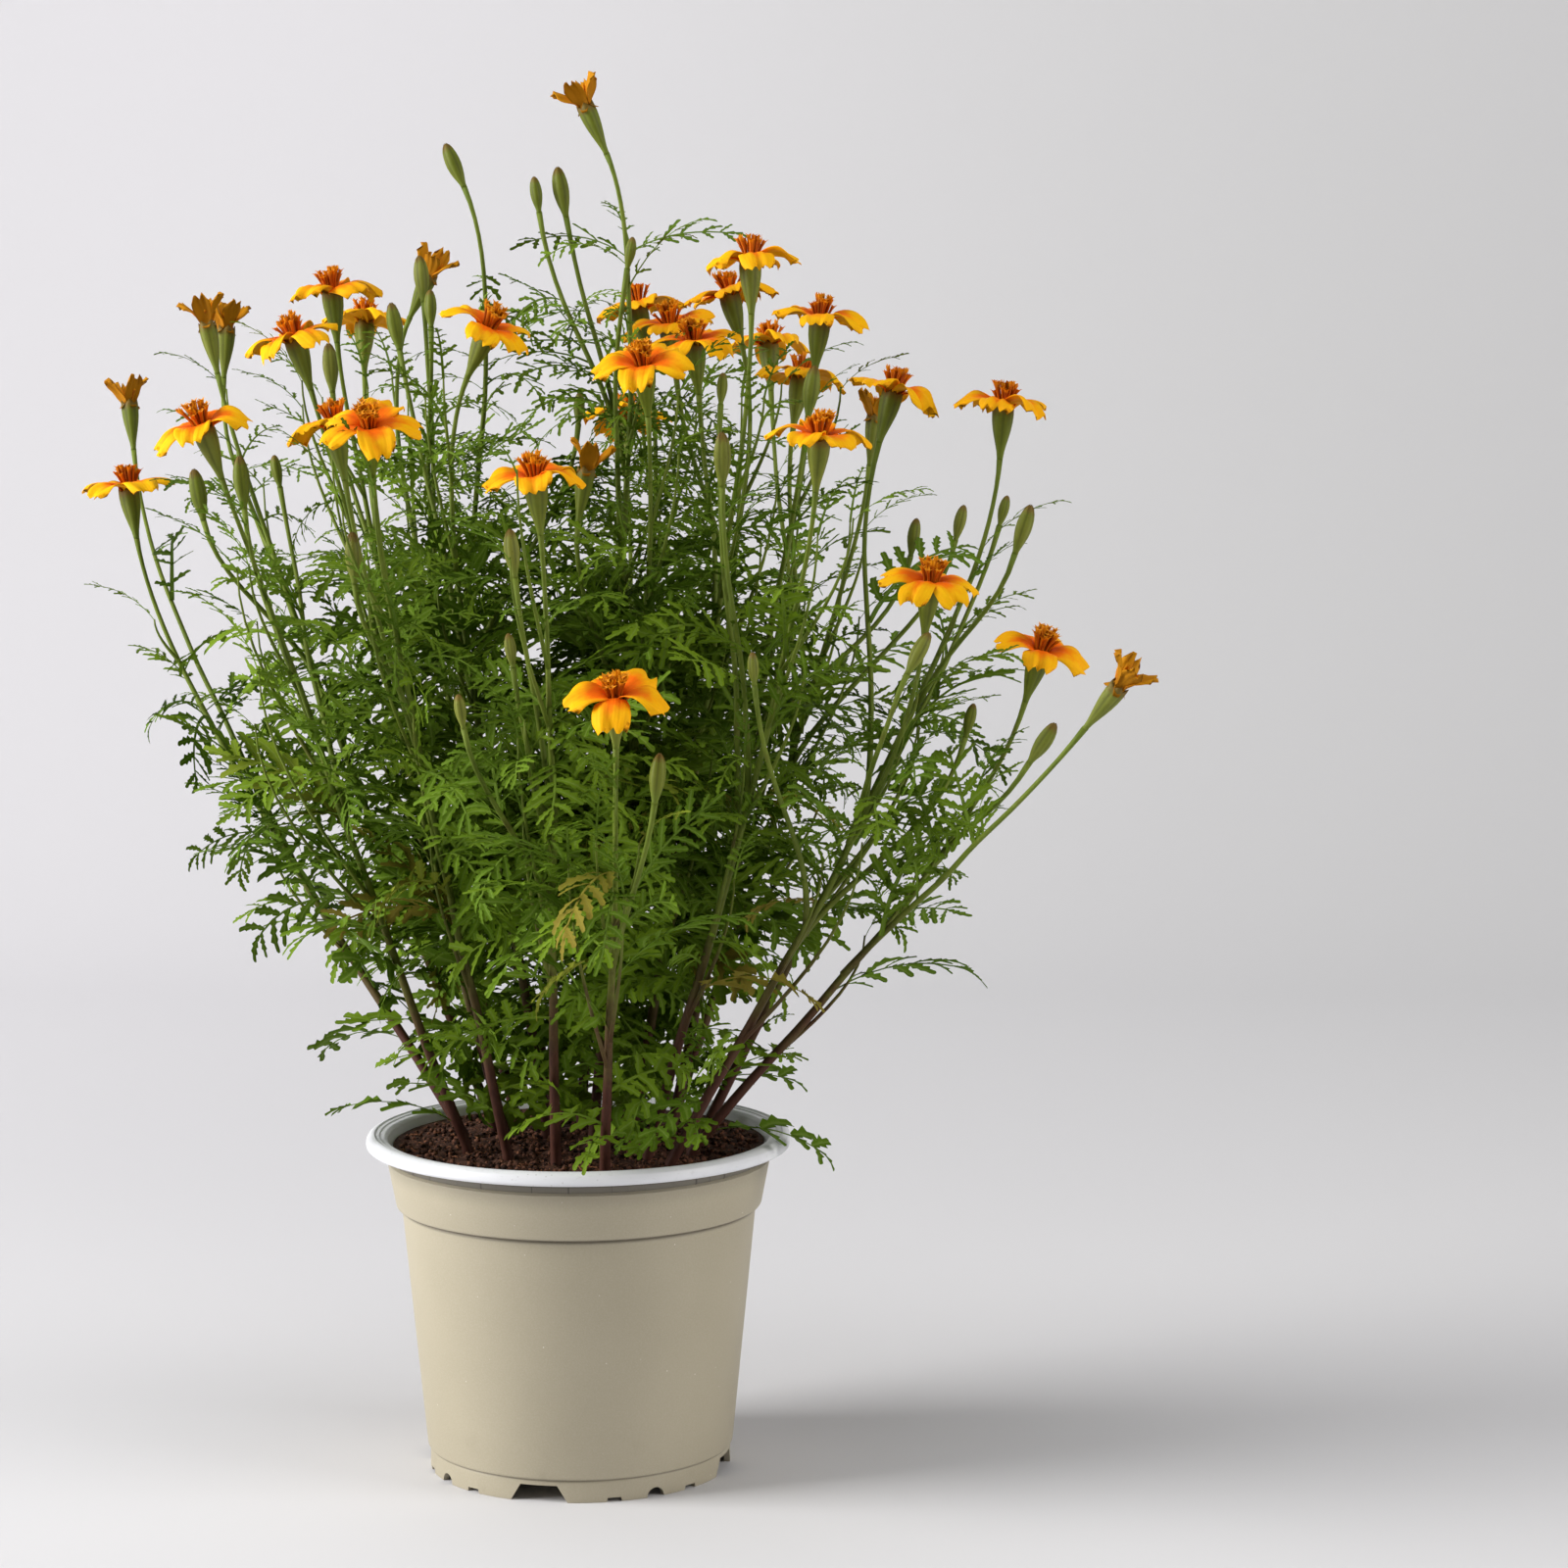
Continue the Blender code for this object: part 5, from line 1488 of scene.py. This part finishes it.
FLOOR_PLACES = (-2.2, -1.0, 0.9)
BEND_RADIUS, BEND_STEPS = 0.8, 12
WALL_TOP, HALF_WIDTH = 3.2, 3.5
# Painted light and shade on the one paper sweep: the floor darker than the wall, the floor darker on the
# left and the wall darker on the right
FLOOR_LEFT_PAINTED_LIGHT, FLOOR_RIGHT_PAINTED_LIGHT = (0.685, 0.681, 0.712), (0.745, 0.746, 0.766)
WALL_LEFT_PAINTED_LIGHT, WALL_RIGHT_PAINTED_LIGHT = (0.90, 0.892, 0.930), (0.83, 0.832, 0.848)
SKY, SKY_STRENGTH = (0.96, 0.96, 1.0, 1.0), 0.09
LIT_PLACE = Vector((0.0, 0.0, 0.2))
CAMERA_PLACE = (62.9 * MM, -1184.6 * MM, 338.7 * MM)
CAMERA_PITCH = math.radians(6.17)
CAMERA_LENS, SENSOR_WIDTH, FARTHEST = 90, 36, 20


def make_backdrop():
    backdrop = Shape()
    run = [(place, 0.0) for place in FLOOR_PLACES]
    for rise, back in arc(BEND_RADIUS, BEND_STEPS, math.pi / 2)[1:]:
        run.append((FLOOR_PLACES[-1] + back, BEND_RADIUS - rise))
    run.append((FLOOR_PLACES[-1] + BEND_RADIUS, WALL_TOP))
    points = [(side * HALF_WIDTH, y, z) for y, z in run for side in (-1, 1)]
    faces = [(2 * at, 2 * at + 1, 2 * at + 3, 2 * at + 2) for at in range(len(run) - 1)]
    backdrop.add(points, faces)
    paper = Finish("pale_backdrop", Roughness=0.85, Specular_IOR_Level=0.1)
    cloud = paper.speckle(0.6, 2.0)
    x, y = paper.axes()[:2]
    # Painted light and shade: the colour shifts from left to right, and from the floor to the wall
    left = paper.ease(x + cloud * 0.1, 0.5, -0.4)
    floor = paper.blend(left, FLOOR_RIGHT_PAINTED_LIGHT, FLOOR_LEFT_PAINTED_LIGHT)
    wall = paper.blend(left, WALL_RIGHT_PAINTED_LIGHT, WALL_LEFT_PAINTED_LIGHT)
    paper.feed(Base_Color=paper.blend(paper.ease(y, 0.3, 1.1), floor, wall))
    mesh = backdrop.mesh("backdrop")
    mesh.materials.append(paper.material)
    put("backdrop", mesh)


def add_light(name, place, size, watts, colour):
    """A soft rectangular light that faces the plant, with its size in metres."""
    light = bpy.data.lights.new(name, "AREA")
    light.shape = "RECTANGLE"
    light.size, light.size_y = size
    light.energy = watts
    light.color = colour
    made = put(name, light)
    made.location = place
    made.rotation_euler = (LIT_PLACE - Vector(place)).to_track_quat("-Z", "Y").to_euler()


make_backdrop()
add_light("key", (-1.47, -0.31, 0.75), (0.8, 1.2), 38, (1.0, 0.985, 0.955))
add_light("fill", (1.41, -0.51, 0.65), (0.8, 1.1), 13, (1.0, 0.970, 0.93))
add_light("top", (-0.2, -0.45, 1.9), (1.4, 1.0), 11, (1.0, 1.0, 1.0))
world = bpy.data.worlds.new("studio")
world.use_nodes = True
world.node_tree.nodes["Background"].inputs["Color"].default_value = SKY
world.node_tree.nodes["Background"].inputs["Strength"].default_value = SKY_STRENGTH
bpy.context.scene.world = world
bpy.context.scene.view_settings.view_transform = "Standard"

camera = put("camera", bpy.data.cameras.new("camera"))
camera.data.lens = CAMERA_LENS
camera.data.sensor_width = SENSOR_WIDTH
camera.data.clip_end = FARTHEST
camera.location = CAMERA_PLACE
camera.rotation_euler = (math.pi / 2 - CAMERA_PITCH, 0.0, 0.0)
bpy.context.scene.camera = camera
